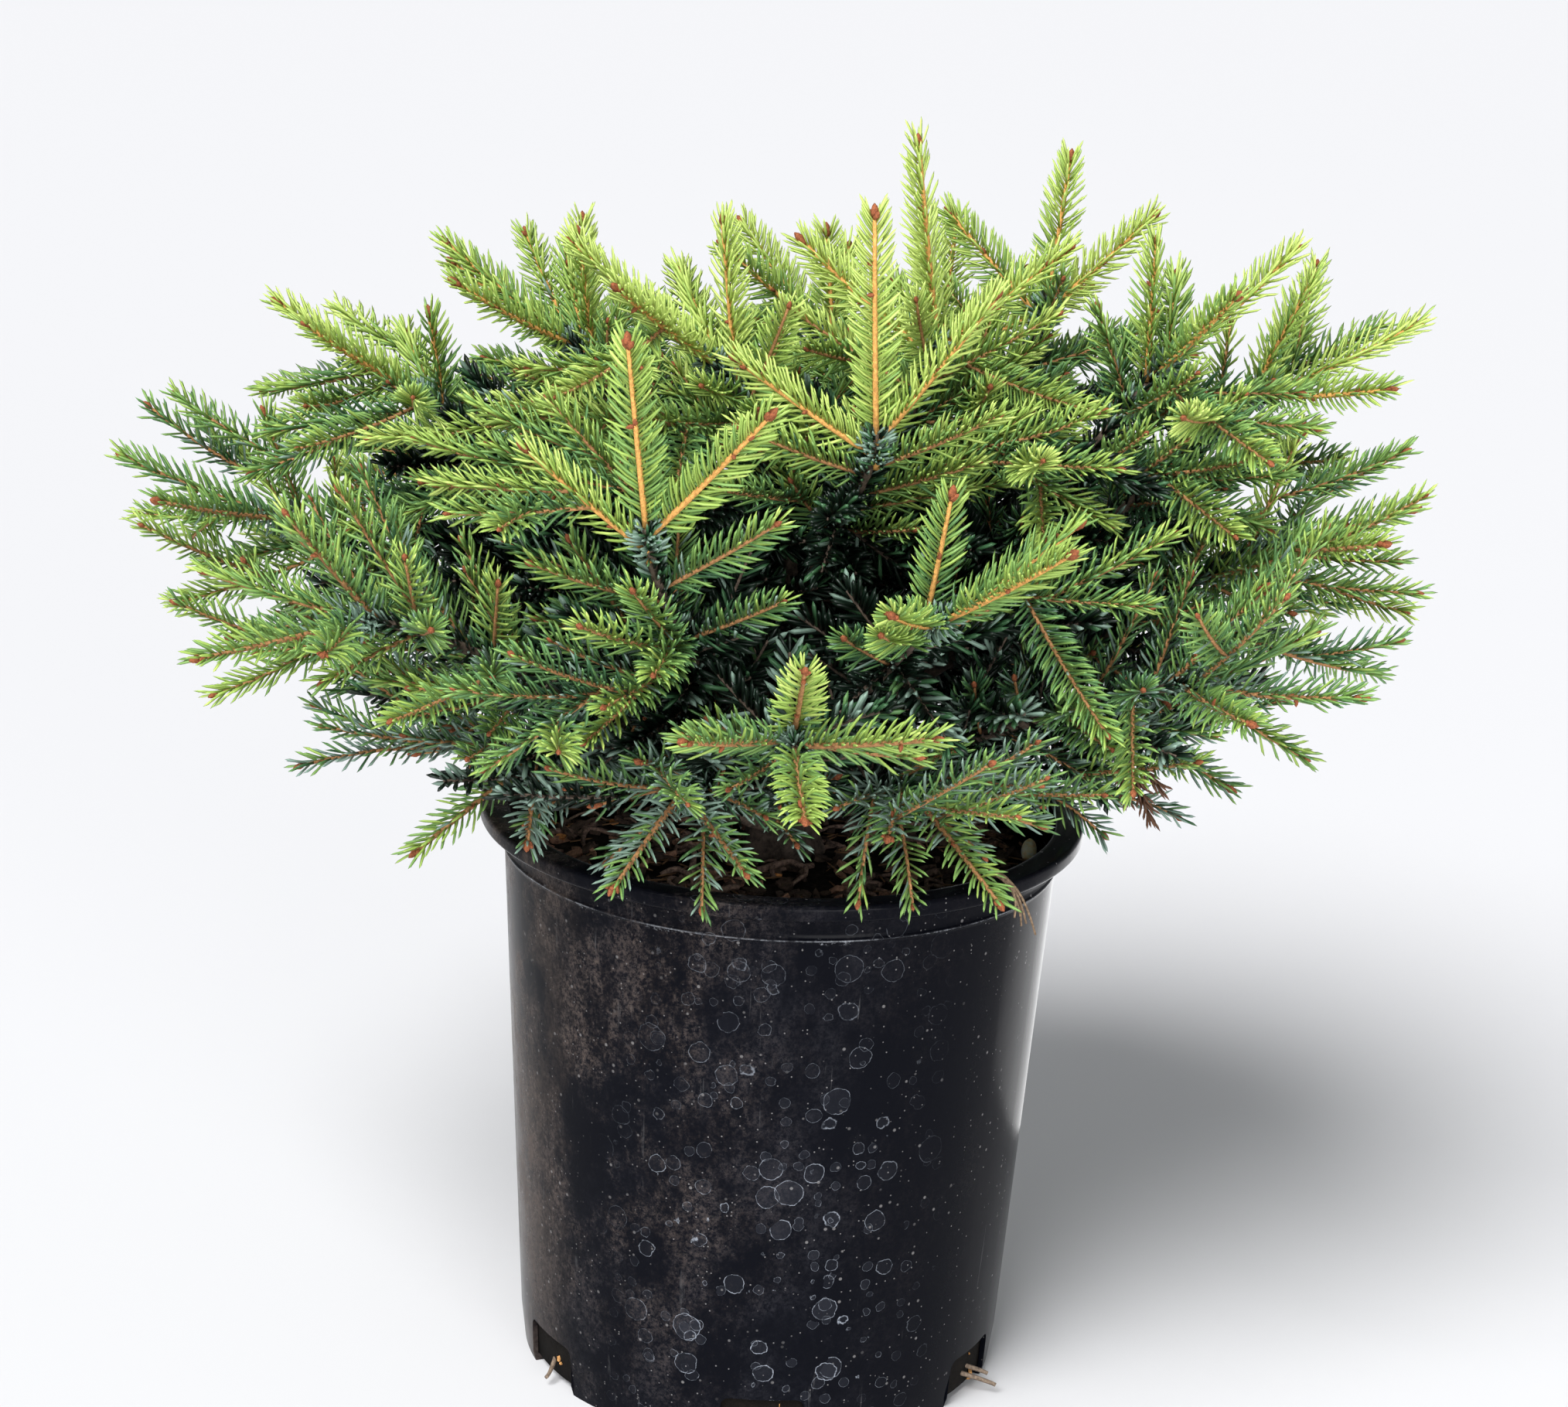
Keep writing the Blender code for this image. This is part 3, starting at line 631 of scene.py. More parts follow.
def fine_wishes(index, limb, grown, draw):
    """Short shoots of one mass: off its stem all round, and in pairs off its older shoots."""
    wishes = []
    turn = draw.uniform(0, 360)
    for share in np.repeat(STEM_NODES, 2):
        node, before = curve_at(limb.handles, (share + draw.uniform(-0.015, 0.015), share - LOOK_BACK))
        along = unit(node - before)
        side, lift = across_twig(along)
        turn += TURN_STEP + draw.uniform(-25, 25)
        around = math.radians(turn)
        outward = unit(side * math.cos(around) * 1.3 + lift * math.sin(around))
        direction = leaning(along, outward, draw.uniform(42, 66))
        wishes.append((node, direction, limb.shoot * draw.uniform(0.50, 0.82) * (0.7 + 0.3 * share)))
    for item in grown:
        if item.limb != index or item.rank < MAIN_RANKS:
            continue
        node, before = shoot_axis(item.shoot, (0.4, 0.4 - LOOK_BACK))
        along = unit(node - before)
        side, lift = across_twig(along)
        for sign in (-1, 1):
            angle = draw.uniform(44, 62)
            outward = unit(sign * side + lift * draw.uniform(-0.5, 0.5))
            direction = leaning(along, outward, angle)
            wishes.append((node, direction, item.shoot.length * draw.uniform(0.45, 0.65)))
    return wishes


def grow_fine(grown):
    """Finer shoots within the same reach: each stays clear of the pot and of other shoots' axes."""
    axes = [item.axis for item in grown]
    fine = []
    for index, limb in enumerate(LIMBS):
        reach = max(np.linalg.norm(item.axis[-1] - FORK) for item in grown if item.limb == index)
        draw = random.Random(f"{SEED} fine {limb.name}")
        for root, direction, length in fine_wishes(index, limb, grown, draw):
            curl = draw.uniform(-0.10, 0.22)
            turn = draw.uniform(0, 360)
            for share in (1.0, 0.75):
                shoot = Shoot(root, direction, length * share, curl, turn)
                axis = shoot_axis(shoot, AXIS_SHARES)
                outer = axis[6:]
                radius, lowest = np.hypot(outer[:, 0], outer[:, 1]), outer[:, 2].min()
                if np.linalg.norm(axis[-1] - FORK) > reach or not has_room(outer, 0.85):
                    continue
                if radius.min() < 0.030 and lowest < TRUNK_TOP or radius.max() > 0.060 and lowest < 0.246:
                    continue
                if nearest(outer, np.vstack(axes)).min() < FINE_APART:
                    continue
                axes.append(axis)
                fine.append(Grown(index, axis, shoot, FINE_RANK))
                break
    return fine


def grow_inner(shoots):
    """Short old shoots along the boughs and round the trunk's top, that fill the nest's hollow and darken it
    with painted shade.
    """
    axes = np.vstack([item.axis for item in shoots])
    inner = []
    for index, limb in enumerate(LIMBS):
        draw = random.Random(f"{SEED} inner {limb.name}")
        turn = draw.uniform(0, 360)
        for share in np.linspace(0.14, 0.70, 20):
            node, before = curve_at(limb.handles, (share, share - LOOK_BACK))
            along = unit(node - before)
            side, lift = across_twig(along)
            turn += TURN_STEP + draw.uniform(-30, 30)
            around = math.radians(turn)
            outward = side * math.cos(around) + lift * math.sin(around)
            direction = unit(leaning(along, outward, draw.uniform(50, 80)))
            shoot = Shoot(node, direction, draw.uniform(0.024, 0.044), draw.uniform(-0.15, 0.15), 0)
            axis = shoot_axis(shoot, AXIS_SHARES)
            tip = axis[-1]
            if not needles_clear_pot(axis[5:], 0.007) or hides_soil(axis[5:]):
                continue
            if np.linalg.norm(tip - FORK) > 0.15 or nearest(axis[5:], axes).min() < INNER_APART:
                continue
            if tip[2] < 0.238 and np.hypot(*tip[:2]) > 0.055 or not inside_outline(axis, -0.015):
                continue
            axes = np.vstack((axes, axis))
            inner.append(Grown(index, axis, shoot, INNER_RANK))
    return inner


# Meshes


def circle(sides):
    return 2 * np.pi * np.arange(sides) / sides


def turned(radius, angle, height):
    """Points round the upright axis at each radius, angle and height."""
    both = np.broadcast_arrays(radius * np.cos(angle), radius * np.sin(angle), height)
    return np.stack(both, -1).reshape(-1, 3)


def grid_faces(rows, columns):
    """Triangles of a grid of points, two for each cell, the last column joined to the first."""
    row, column = np.meshgrid(np.arange(rows - 1), np.arange(columns), indexing="ij")
    following = (column + 1) % columns
    here, aside = row * columns + column, row * columns + following
    above, across = here + columns, aside + columns
    halves = (np.stack((here, aside, across), -1), np.stack((here, across, above), -1))
    return np.concatenate([half.reshape(-1, 3) for half in halves])


def capped_faces(rings, sides):
    """Triangles of a tube of rings whose ends are closed by two poles, the last two points."""
    side = np.arange(sides)
    following = (side + 1) % sides
    last = (rings - 1) * sides
    pole = np.full(sides, rings * sides)
    foot = np.stack((pole, following, side), -1)
    top = np.stack((pole + 1, last + side, last + following), -1)
    return np.concatenate((grid_faces(rings, sides), foot, top))


def repeated(faces, count, size):
    """One shape's triangles again for each of many shapes with this many points."""
    return (np.asarray(faces)[None] + (np.arange(count) * size)[:, None, None]).reshape(-1, 3)


def joined(parts):
    """One set of points and triangles from many."""
    points, faces, start = [], [], 0
    for part_points, part_faces in parts:
        points.append(part_points)
        faces.append(part_faces + start)
        start += len(part_points)
    return np.concatenate(points), np.concatenate(faces)


def linked(name, data):
    made = bpy.data.objects.new(name, data)
    bpy.context.scene.collection.objects.link(made)
    return made


def new_piece(name, points, faces, look, slot, replaced=(), sharp=None):
    """A shaded mesh at the origin that rides on the root body and takes the given finish. The slot is not
    used.
    """
    mesh = bpy.data.meshes.new(name)
    mesh.vertices.add(len(points))
    mesh.vertices.foreach_set("co", np.asarray(points, np.float32).ravel())
    mesh.loops.add(3 * len(faces))
    mesh.loops.foreach_set("vertex_index", np.asarray(faces, np.int32).ravel())
    mesh.polygons.add(len(faces))
    mesh.polygons.foreach_set("loop_start", np.arange(0, 3 * len(faces), 3, dtype=np.int32))
    mesh.update(calc_edges=True)
    mesh.validate()
    mesh.shade_smooth()
    if sharp is not None:
        mesh.set_sharp_from_angle(angle=math.radians(sharp))
    mesh.materials.append(look.material)
    piece = linked(name, mesh)
    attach(piece, "root")
    if replaced:
        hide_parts(*replaced)


def carried_rings(paths, radii, sides):
    """Round profiles carried along many paths at once, closed at both ends.

    paths is n by rings by 3 and radii is n by rings. A point is the path's own point plus the
    radius times the cosine and sine of its angle along two directions across the path.
    """
    count, rings = radii.shape
    tangents = units(np.gradient(paths, axis=1))
    steep = np.abs(tangents[:, :1, 2:]) > 0.85
    guide = np.where(steep, np.array((0.6, 0.8, 0.0)), np.array((0.0, 0.0, 1.0)))
    across = units(np.cross(tangents, guide))
    upward = np.cross(across, tangents)
    angles = circle(sides)[:, None]
    spin = np.cos(angles) * across[:, :, None] + np.sin(angles) * upward[:, :, None]
    skin = (paths[:, :, None] + radii[:, :, None, None] * spin).reshape(count, -1, 3)
    points = np.concatenate((skin, paths[:, :1], paths[:, -1:]), axis=1)
    return points.reshape(-1, 3), repeated(capped_faces(rings, sides)[:, ::-1], count, points.shape[1])


def relief(points, scale, seed=0):
    """Smooth random heights from -1 to 1: corner values of a lattice of cells, blended between."""
    cells = points * scale + seed * 17.31
    low = np.floor(cells).astype(np.int64)
    share = cells - low
    share = share * share * (3 - 2 * share)
    total = np.zeros(len(points))
    for corner in range(8):
        step = np.array((corner & 1, corner >> 1 & 1, corner >> 2 & 1))
        at = low + step
        mixed = (at[:, 0] * 73856093) ^ (at[:, 1] * 19349663) ^ (at[:, 2] * 83492791)
        value = (np.sin(mixed % 100003 * 12.9898) * 43758.5453) % 1.0
        total += value * np.where(step, share, 1 - share).prod(axis=1)
    return total * 2 - 1


def needle_rows(roots, tangents, outs, lean, lengths, widths, profile):
    """Needles with three sides, one row of the arrays for each.

    A needle leaves its twig at the angle lean from the twig's own direction and bends forwards
    along a parabola. The profile gives shares of its length and of its width; a point ends it.
    """
    bend = lean * 0.66
    first = tangents * np.cos(lean)[:, None] + outs * np.sin(lean)[:, None]
    second = tangents * np.cos(bend)[:, None] + outs * np.sin(bend)[:, None]
    across = np.cross(tangents, outs)
    thick = np.cross(first, across)
    angles = np.radians((90, 210, 330))[None, :, None]
    half = (widths * 0.5)[:, None, None]
    ring = np.cos(angles) * across[:, None] * half + np.sin(angles) * thick[:, None] * half
    rows = []
    for share, wide in (*profile, (1.0, 0.0)):
        place = first * (share - share**2 / 2) + second * (share**2 / 2)
        centre = (roots + place * lengths[:, None])[:, None]
        rows.append(centre + ring * wide if wide else centre)
    return np.concatenate(rows, axis=1)


def needle_mesh(rows):
    """Points and triangles of needles, each 3 points a ring and one at its tip."""
    count, size = rows.shape[:2]
    rings = size // 3
    side = np.arange(3)
    last = 3 * (rings - 1)
    tip = np.stack((np.full(3, 3 * rings), last + side, last + (side + 1) % 3), -1)
    one = np.concatenate((grid_faces(rings, 3), tip, [(0, 2, 1)]))
    return rows.reshape(-1, 3), repeated(one, count, size)


# Needle colours from darkest to palest. The darkest is near-black painted shade.
SHADES = ("deep", "blue", "dark", "mid", "fresh", "new", "pale")
SHADE_EDGES = ((0.10, "dark"), (0.26, "mid"), (0.42, "fresh"), (0.60, "new"), (0.80, "pale"))
# Needles by tier and shade
heaps = {}


def shade_names(light, blue, draw):
    """A shade for each needle: bands of lightness, the darkest being near-black painted shade, with old
    shaded ones partly blue.
    """
    names = np.full(len(light), "deep", dtype=object)
    for edge, name in SHADE_EDGES:
        names[light > edge] = name
    names[(light < 0.36) & (light > 0.02) & (draw.random(len(light)) < blue)] = "blue"
    return names


Dress = namedtuple("Dress", "tier light blue length parted lean rise full wide")


def clothe(dress, shares, roots, tangents, draw):
    """Needles along a twig: the golden angle apart round it, parted beneath and drawn to its sides.

    Beneath is down for a level twig and outwards for an upright one. The needles stand out most
    at the root of the twig, lean forwards towards its tip, and are shorter at both ends.
    """
    count = len(shares)
    upward = np.array((0.0, 0.0, 1.0)) - units(roots * (1, 1, 0))
    upward = units(upward - tangents * (upward * tangents).sum(axis=1)[:, None])
    across = np.cross(tangents, upward)
    around = (GOLDEN_ANGLE * np.arange(count) + draw.uniform(0, 6.28)) % (2 * np.pi) - np.pi
    around *= 1 - dress.parted / 180
    around += 0.28 * np.sin(2 * around) * (dress.parted > 0) + draw.normal(0, 0.10, count)
    outs = upward * np.cos(around)[:, None] + across * np.sin(around)[:, None]
    lean = np.radians(dress.lean - 10 * shares - 24 * shares**5 + draw.normal(0, 4.5, count))
    lengths = dress.length * (0.74 + 0.32 * np.sin(np.pi * np.clip(shares * 0.86 + 0.10, 0, 1)))
    lengths *= draw.uniform(0.90, 1.07, count)
    widths = NEEDLE_WIDTH * dress.wide * draw.uniform(0.86, 1.10, count)
    profile = FULL_NEEDLE if dress.full else SLIM_NEEDLE
    rows = needle_rows(roots + outs * 0.0006, tangents, outs, lean, lengths, widths, profile)
    # Painted shade: each twig's needles darken towards its root and grow lighter towards its tip.
    tone = dress.light + dress.rise * (shares - 0.62) + draw.normal(0, 0.09, count)
    names = shade_names(tone, dress.blue, draw)
    for name in SHADES:
        if (names == name).any():
            heaps.setdefault((dress.tier, name), []).append(rows[names == name])


def shoot_arrays(shoot, shares):
    """Points and unit tangents along a shoot."""
    tangents = shoot.direction + np.array((0.0, 0.0, 2 * shoot.curl)) * shares[:, None]
    return shoot_axis(shoot, shares), units(tangents)


def outerness(tips):
    """Each tip's distance from the fork as a share of the farthest tips' in its direction."""
    away = tips - FORK
    far = np.linalg.norm(away, axis=1)
    facing = away / far[:, None]
    near = facing @ facing.T > math.cos(math.radians(20))
    edge = np.array([np.quantile(far[row], 0.93) for row in near])
    return np.clip(far / edge, 0, 1.1)


FULLNESS = {"skirt": 0.66, "low": 0.80, "mid": 0.96, "high": 0.98, "leader": 1.0}
BLUE_SHARE = {"skirt": 0.70, "low": 0.36, "mid": 0.16, "high": 0.10, "leader": 0.06}
# Lightness added to each tier's needles: fresh growth on the leaders, painted light on the skirt and low
# tiers.
TIER_LIGHT = {"skirt": 0.06, "low": 0.08, "mid": -0.01, "high": 0.00, "leader": 0.23}
# Bare share at the root, density, length, parting and width of the needles on each kind of shoot
KINDS = {
    "main": (0.07, 1.0, 1.0, 46, 0.90),
    "side": (0.04, 0.84, 0.93, 38, 0.90),
    "inner": (0.04, 0.55, 0.93, 38, 1.50),
    "far": (0.04, 0.74, 0.93, 38, 1.60),
}


def kind_of(item):
    """Main shoots are a whorl's own. Inner ones darken the crown with needles of painted shade, the far ones
    more densely.
    """
    if item.rank < INNER_RANK:
        return "main" if item.rank < MAIN_RANKS else "side"
    return "far" if np.linalg.norm(item.axis[-1] - FORK) > FAR_INNER else "inner"


def make_needles(shoots):
    """Every needle of the crown, by tier and shade: lighter outwards and upwards, partly as fresh growth and
    partly as painted light, with painted shade inside.
    """
    outer = outerness(np.array([item.axis[-1] for item in shoots]))
    for seed, item in enumerate(shoots):
        draw = np.random.default_rng(1000 + seed)
        tier = LIMBS[item.limb].tier.name
        kind = kind_of(item)
        main, inner, low = kind == "main", item.rank >= INNER_RANK, tier in ("skirt", "low")
        bare, density, length, parted, wide = KINDS[kind]
        density = NEEDLES_PER_METRE * FULLNESS[tier] * density
        count = max(8, int(item.shoot.length * (1 - bare) * density))
        shares = bare + (1 - bare) * (np.arange(count) + 0.5) / count
        roots, tangents = shoot_arrays(item.shoot, shares)
        tip = unit(item.axis[-1] - FORK)
        high = np.clip((math.degrees(math.asin(tip[2])) + 6) / 34, 0, 1)
        # Lighter outwards and upwards: partly fresh growth, partly painted light from above and painted shade
        # within.
        light = 0.08 + 0.40 * (outer[seed] - 0.55) / 0.45 + 0.17 * high + TIER_LIGHT[tier]
        if low:
            light = min(light, 0.58)
        light += draw.normal(0, 0.10) + (-0.03 if not main else 0.0 if low else 0.06)
        # Painted shade: inner shoots' needles go near black, and the rest stay out of the darkest band.
        light = min(light, 0.02) + draw.normal(0, 0.04) if inner else max(light, draw.uniform(0.18, 0.28))
        blue = BLUE_SHARE[tier] * (1.4 if inner else 1.3 - 0.6 * high)
        rise = 0.0 if inner else 0.24 if main or low else 0.36
        dress = Dress(tier, light, blue, NEEDLE_LENGTH * length, parted, 66, rise, main, wide)
        clothe(dress, shares, roots, tangents, draw)
    for index, limb in enumerate(LIMBS):
        draw = np.random.default_rng(5000 + index)
        tier = limb.tier.name
        shares = np.sort(draw.uniform(0.38, 0.985, int(230 * limb.tier.reach / 0.2)))
        points = curve_at(limb.handles, shares)
        tangents = units(curve_at(limb.handles, shares + 0.01) - points)
        # Older needles along each stem, dark partly as painted shade inside the crown.
        old = Dress(tier, 0.06, 0.4, NEEDLE_LENGTH * 0.86, 20, 60, 0.1, False, 1.1)
        clothe(old, shares, points, tangents, draw)
        shares = draw.uniform(0, 1, 84)
        points = limb.whorl - limb.tip * (WHORL_STEP * 4.5 * (1 - shares))[:, None]
        tuft = Dress(tier, 0.18, 0.85, NEEDLE_LENGTH * 0.68, 0, 92, 0.0, True, 0.95)
        clothe(tuft, shares, points, np.repeat(limb.tip[None], len(shares), axis=0), draw)


# Materials


class Nodes:
    """The nodes of a material or a world, and a word for each kind that is used.

    A value given to a socket is a number, a tuple, or another node's output, which is linked.
    """

    def __init__(self, owner):
        owner.use_nodes = True
        self.tree = owner.node_tree

    def fill(self, node, sockets):
        for key, value in sockets.items():
            if isinstance(value, bpy.types.NodeSocket):
                self.tree.links.new(value, node.inputs[key])
            else:
                node.inputs[key].default_value = value

    def add(self, kind, sockets, **settings):
        """The outputs of a new node."""
        made = self.tree.nodes.new(f"ShaderNode{kind}")
        for key, value in settings.items():
            setattr(made, key, value)
        self.fill(made, sockets)
        return made.outputs

    def placed(self, scale=(1, 1, 1), turn=(0, 0, 0), move=(0, 0, 0)):
        """Object coordinates, stretched, turned and moved."""
        where = self.add("TexCoord", {})["Object"]
        sockets = {"Vector": where, "Scale": scale, "Rotation": turn, "Location": move}
        return self.add("Mapping", sockets)["Vector"]

    def noise(self, vector, scale, detail, roughness, output="Fac"):
        sockets = {"Vector": vector, "Scale": scale, "Detail": detail, "Roughness": roughness}
        return self.add("TexNoise", sockets)[output]

    def cells(self, vector, scale, randomness):
        """Distance from the middle of each random cell, and a random number for the cell."""
        made = self.add("TexVoronoi", {"Vector": vector, "Scale": scale, "Randomness": randomness})
        return made["Distance"], self.add("SeparateXYZ", {0: made["Color"]})["X"]

    def ramp(self, value, stops):
        """Colours at shares of a value from 0 to 1."""
        colour = self.add("ValToRGB", {"Fac": value})["Color"]
        elements = colour.node.color_ramp.elements
        while len(elements) < len(stops):
            elements.new(0.5)
        for element, (place, tone) in zip(elements, stops):
            element.position = place
            element.color = (*tone, 1.0)
        return colour

    def steps(self, value, low, high, out_low=0.0, out_high=1.0):
        """A value mapped from one range to another and held at its ends."""
        sockets = {"Value": value, "From Min": low, "From Max": high, "To Min": out_low, "To Max": out_high}
        return self.add("MapRange", sockets, interpolation_type="SMOOTHSTEP")["Result"]

    def calc(self, kind, first, second):
        return self.add("Math", {0: first, 1: second}, operation=kind)["Value"]

    def product(self, *values):
        """Values multiplied together."""
        total = values[0]
        for value in values[1:]:
            total = self.calc("MULTIPLY", total, value)
        return total

    def band(self, value, low, high, soft):
        """1 between two values and 0 outside them, with soft edges."""
        rising = self.steps(value, low - soft, low + soft)
        return self.product(rising, self.steps(value, high + soft, high - soft))

    def over(self, base, colour, *shares):
        """A colour laid over another by the product of the shares."""
        colours = {6: base, 7: colour}
        plain = {key: (*value, 1.0) for key, value in colours.items() if isinstance(value, tuple)}
        return self.add("Mix", {0: self.product(*shares), **colours, **plain}, data_type="RGBA")[2]


class Finish(Nodes):
    """A material whose plain values sit on its shader's own sockets."""

    def __init__(self, name, colour, roughness, specular):
        self.material = bpy.data.materials.new(name)
        super().__init__(self.material)
        self.shader = self.tree.nodes["Principled BSDF"]
        plain = {"Base Color": (*colour, 1.0), "Roughness": roughness, "Specular IOR Level": specular}
        self.fill(self.shader, plain)

    def surface(self, colour, height, strength, distance):
        """Colour and relief of the whole surface."""
        bump = self.add("Bump", {"Height": height, "Strength": strength, "Distance": distance})
        self.fill(self.shader, {"Base Color": colour, "Normal": bump["Normal"]})


def bark_finish(name, dark, light, scale, depth=0.0006):
    """Flaky bark: noise in three tones, with relief from the same noise."""
    bark = Finish(name, light, 0.85, 0.25)
    grain = bark.noise(bark.placed(), scale, 6.0, 0.7)
    bright = tuple(min(1, c * 1.5) for c in light)
    bark.surface(bark.ramp(grain, ((0.34, dark), (0.52, light), (0.66, bright))), grain, 0.7, depth)
    return bark


def water_rings(pot, where, scale, share, seed):
    """Outlines and insides of dried drops: shells round the middles of some random cells."""
    wobble = pot.noise(where, 190.0, 3.0, 0.65, "Color")
    moved = pot.add("VectorMath", {0: where, 1: (seed, seed * 1.7, seed * 0.6)}, operation="ADD")[0]
    shifted = pot.add("VectorMath", {0: wobble, 1: (0.0024,) * 3, 2: moved}, operation="MULTIPLY_ADD")[0]
    reach, pick = pot.cells(shifted, scale, 0.95)
    chosen = pot.steps(pick, share, share - 0.02)
    broken = pot.steps(pot.noise(where, 260.0, 4.0, 0.7), 0.38, 0.58, 0.15, 1.0)
    outline = pot.product(pot.band(reach, 0.300, 0.308, 0.009), chosen, broken)
    return outline, pot.product(pot.steps(reach, 0.31, 0.29), chosen)


def pot_finish():
    """Semi-gloss black plastic with brown dust, pale specks, upright scuffs and dried drops, a pale left edge
    of dust and painted reflection, and a painted highlight under the lip.
    """
    plain = (0.0030, 0.0034, 0.0056)
    chalky = (0.42, 0.44, 0.48)
    pot = Finish("black plastic", plain, 0.30, 0.04)
    steps, noise = pot.steps, pot.noise
    where = pot.placed()
    split = pot.add("SeparateXYZ", {0: where})
    across, height = split["X"], split["Z"]
    cloud = noise(pot.placed((1, 1, 0.8), (0, 0, 0), (0.21, 0.0, 0.07)), 15.0, 9.0, 0.72)
    smudge = noise(pot.placed((1, 1, 0.6), (0, 0.5, 0), (0.3, 0.1, 0)), 42.0, 8.0, 0.76)
    grit = noise(where, 520.0, 6.0, 0.85)

    # Thin grey film, brown dust to the left and above, a left edge that is part dust and part painted
    # reflection, and upright scuffs
    middle = steps(across, 0.060, -0.010, 0.10, 1.0)
    film = pot.product(steps(smudge, 0.40, 0.64), steps(cloud, 0.36, 0.56), middle)
    base = pot.over(plain, (0.018, 0.019, 0.025), film, steps(grit, 0.36, 0.62), 0.9)
    left = steps(across, 0.020, -0.055, 0.06, 1.0)
    upper = steps(height, 0.02, 0.11, 0.35, 1.0)
    patch = pot.product(steps(cloud, 0.42, 0.58), steps(smudge, 0.36, 0.60))
    dust = pot.product(patch, left, upper, steps(grit, 0.42, 0.66), 0.85)
    base = pot.over(base, (0.125, 0.095, 0.080), dust)
    # Part dust, part painted reflection: a pale band that grows towards the pot's left outline.
    edge = pot.product(steps(across, -0.066, -0.100), steps(cloud, 0.38, 0.56))
    base = pot.over(base, (0.105, 0.080, 0.066), edge, steps(grit, 0.34, 0.60, 0.4, 1.0), 0.75)
    streak = noise(pot.placed((1, 1, 0.03)), 320.0, 3.0, 0.6)
    scuff = steps(streak, 0.665, 0.74)
    base = pot.over(base, (0.095, 0.094, 0.098), scuff, steps(smudge, 0.44, 0.60), 0.5)
    rough = pot.product(pot.calc("ADD", dust, film), 0.16)

    # Dried drops of four sizes down the middle, and specks of two sizes all over
    shown = pot.product(pot.band(across, -0.044, 0.050, 0.020), steps(height, 0.195, 0.085, 0.35, 1.0))
    for scale, share, seed, strength, filled in (
        (70.0, 0.46, 0.0, 0.95, 0.12),
        (104.0, 0.40, 3.1, 0.75, 0.10),
        (58.0, 0.26, 7.7, 0.85, 0.18),
        (150.0, 0.30, 5.3, 0.60, 0.16),
    ):
        outline, inside = water_rings(pot, where, scale, share, seed)
        base = pot.over(base, (0.046, 0.050, 0.064), inside, shown, filled)
        base = pot.over(base, (0.42, 0.46, 0.53), outline, shown, strength)
        rough = pot.calc("ADD", rough, pot.product(inside, shown, 0.06))
    for scale, strength in ((300.0, 0.5), (620.0, 0.6)):
        reach, pick = pot.cells(where, scale, 1.0)
        dots = pot.product(steps(reach, 0.24, 0.12), steps(pick, 0.86, 0.92), strength)
        base = pot.over(base, (0.26, 0.25, 0.25), dots, steps(cloud, 0.36, 0.52, 0.2, 1.0))

    # A broken chalky line and scrapes along the seam, and a finer pale line under the lip that is a painted
    # highlight
    seam = POT_HEIGHT - SEAM_DROP + SEAM_HEIGHT / 2
    under_lip = POT_HEIGHT - LIP_HEIGHT - 0.0012
    chalk_and_highlight_breaks = noise(where, 60.0, 7.0, 0.85)
    line = pot.band(height, seam - 0.0003, seam + 0.0002, 0.0002)
    base = pot.over(base, chalky, line, steps(chalk_and_highlight_breaks, 0.45, 0.62, 0.06, 1.0), 0.46)
    scrape = pot.band(height, seam - 0.0016, seam + 0.0007, 0.0006)
    base = pot.over(base, chalky, scrape, steps(chalk_and_highlight_breaks, 0.59, 0.66), 0.60)
    # Painted highlight: a thin pale line just under the lip, broken by the same noise as the chalk.
    fine = pot.band(height, under_lip - 0.0003, under_lip + 0.0002, 0.0003)
    base = pot.over(base, (0.30, 0.31, 0.34), fine, steps(chalk_and_highlight_breaks, 0.42, 0.60), 0.30)
    ripple = pot.calc("ADD", noise(where, 45.0, 4.0, 0.5), pot.product(grit, 0.15))
    pot.surface(base, ripple, 0.12, 0.0008)
    pot.fill(pot.shader, {"Roughness": pot.calc("ADD", rough, 0.18)})
    return pot


def soil_finish(name, dark, light):
    """Damp soil: three tones of coarse noise with relief, and painted shade that makes it darker still below
    its top.
    """
    earth = Finish(name, dark, 0.95, 0.12)
    where = earth.placed()
    height = earth.add("SeparateXYZ", {0: where})["Z"]
    coarse = earth.noise(where, 160.0, 7.0, 0.75)
    tone = earth.ramp(coarse, ((0.36, tuple(c * 0.35 for c in dark)), (0.52, dark), (0.68, light)))
    # Painted shade: the soil down the pot's lining goes near black.
    depth = earth.steps(height, SOIL_LEVEL - 0.008, SOIL_LEVEL - 0.020)
    earth.surface(earth.over(tone, (0.006, 0.005, 0.004), depth, 0.8), coarse, 1.0, 0.0012)
    return earth


NEEDLE_COLOURS = {
    # Near-black painted shade for the crown's inside and the roots of shoots.
    "deep": (0.005, 0.014, 0.008),
    # Blue: the grey-blue of old needles, made paler to carry painted sky sheen.
    "blue": (0.228, 0.338, 0.272),
    "dark": (0.050, 0.135, 0.058),
    "mid": (0.120, 0.260, 0.088),
    "fresh": (0.213, 0.380, 0.100),
    "new": (0.350, 0.512, 0.110),
    "pale": (0.540, 0.692, 0.175),
}
needle_looks = {
    shade: Finish(f"{shade} green needles", colour, 0.38, 0.42) for shade, colour in NEEDLE_COLOURS.items()
}
new_bark = bark_finish("orange twig bark", (0.42, 0.20, 0.055), (0.66, 0.34, 0.100), 900.0, 0.0002)
side_bark = bark_finish("brown twig bark", (0.20, 0.095, 0.040), (0.38, 0.190, 0.080), 900.0, 0.0002)
old_bark = bark_finish("grey-brown bough bark", (0.035, 0.027, 0.022), (0.125, 0.092, 0.070), 420.0)
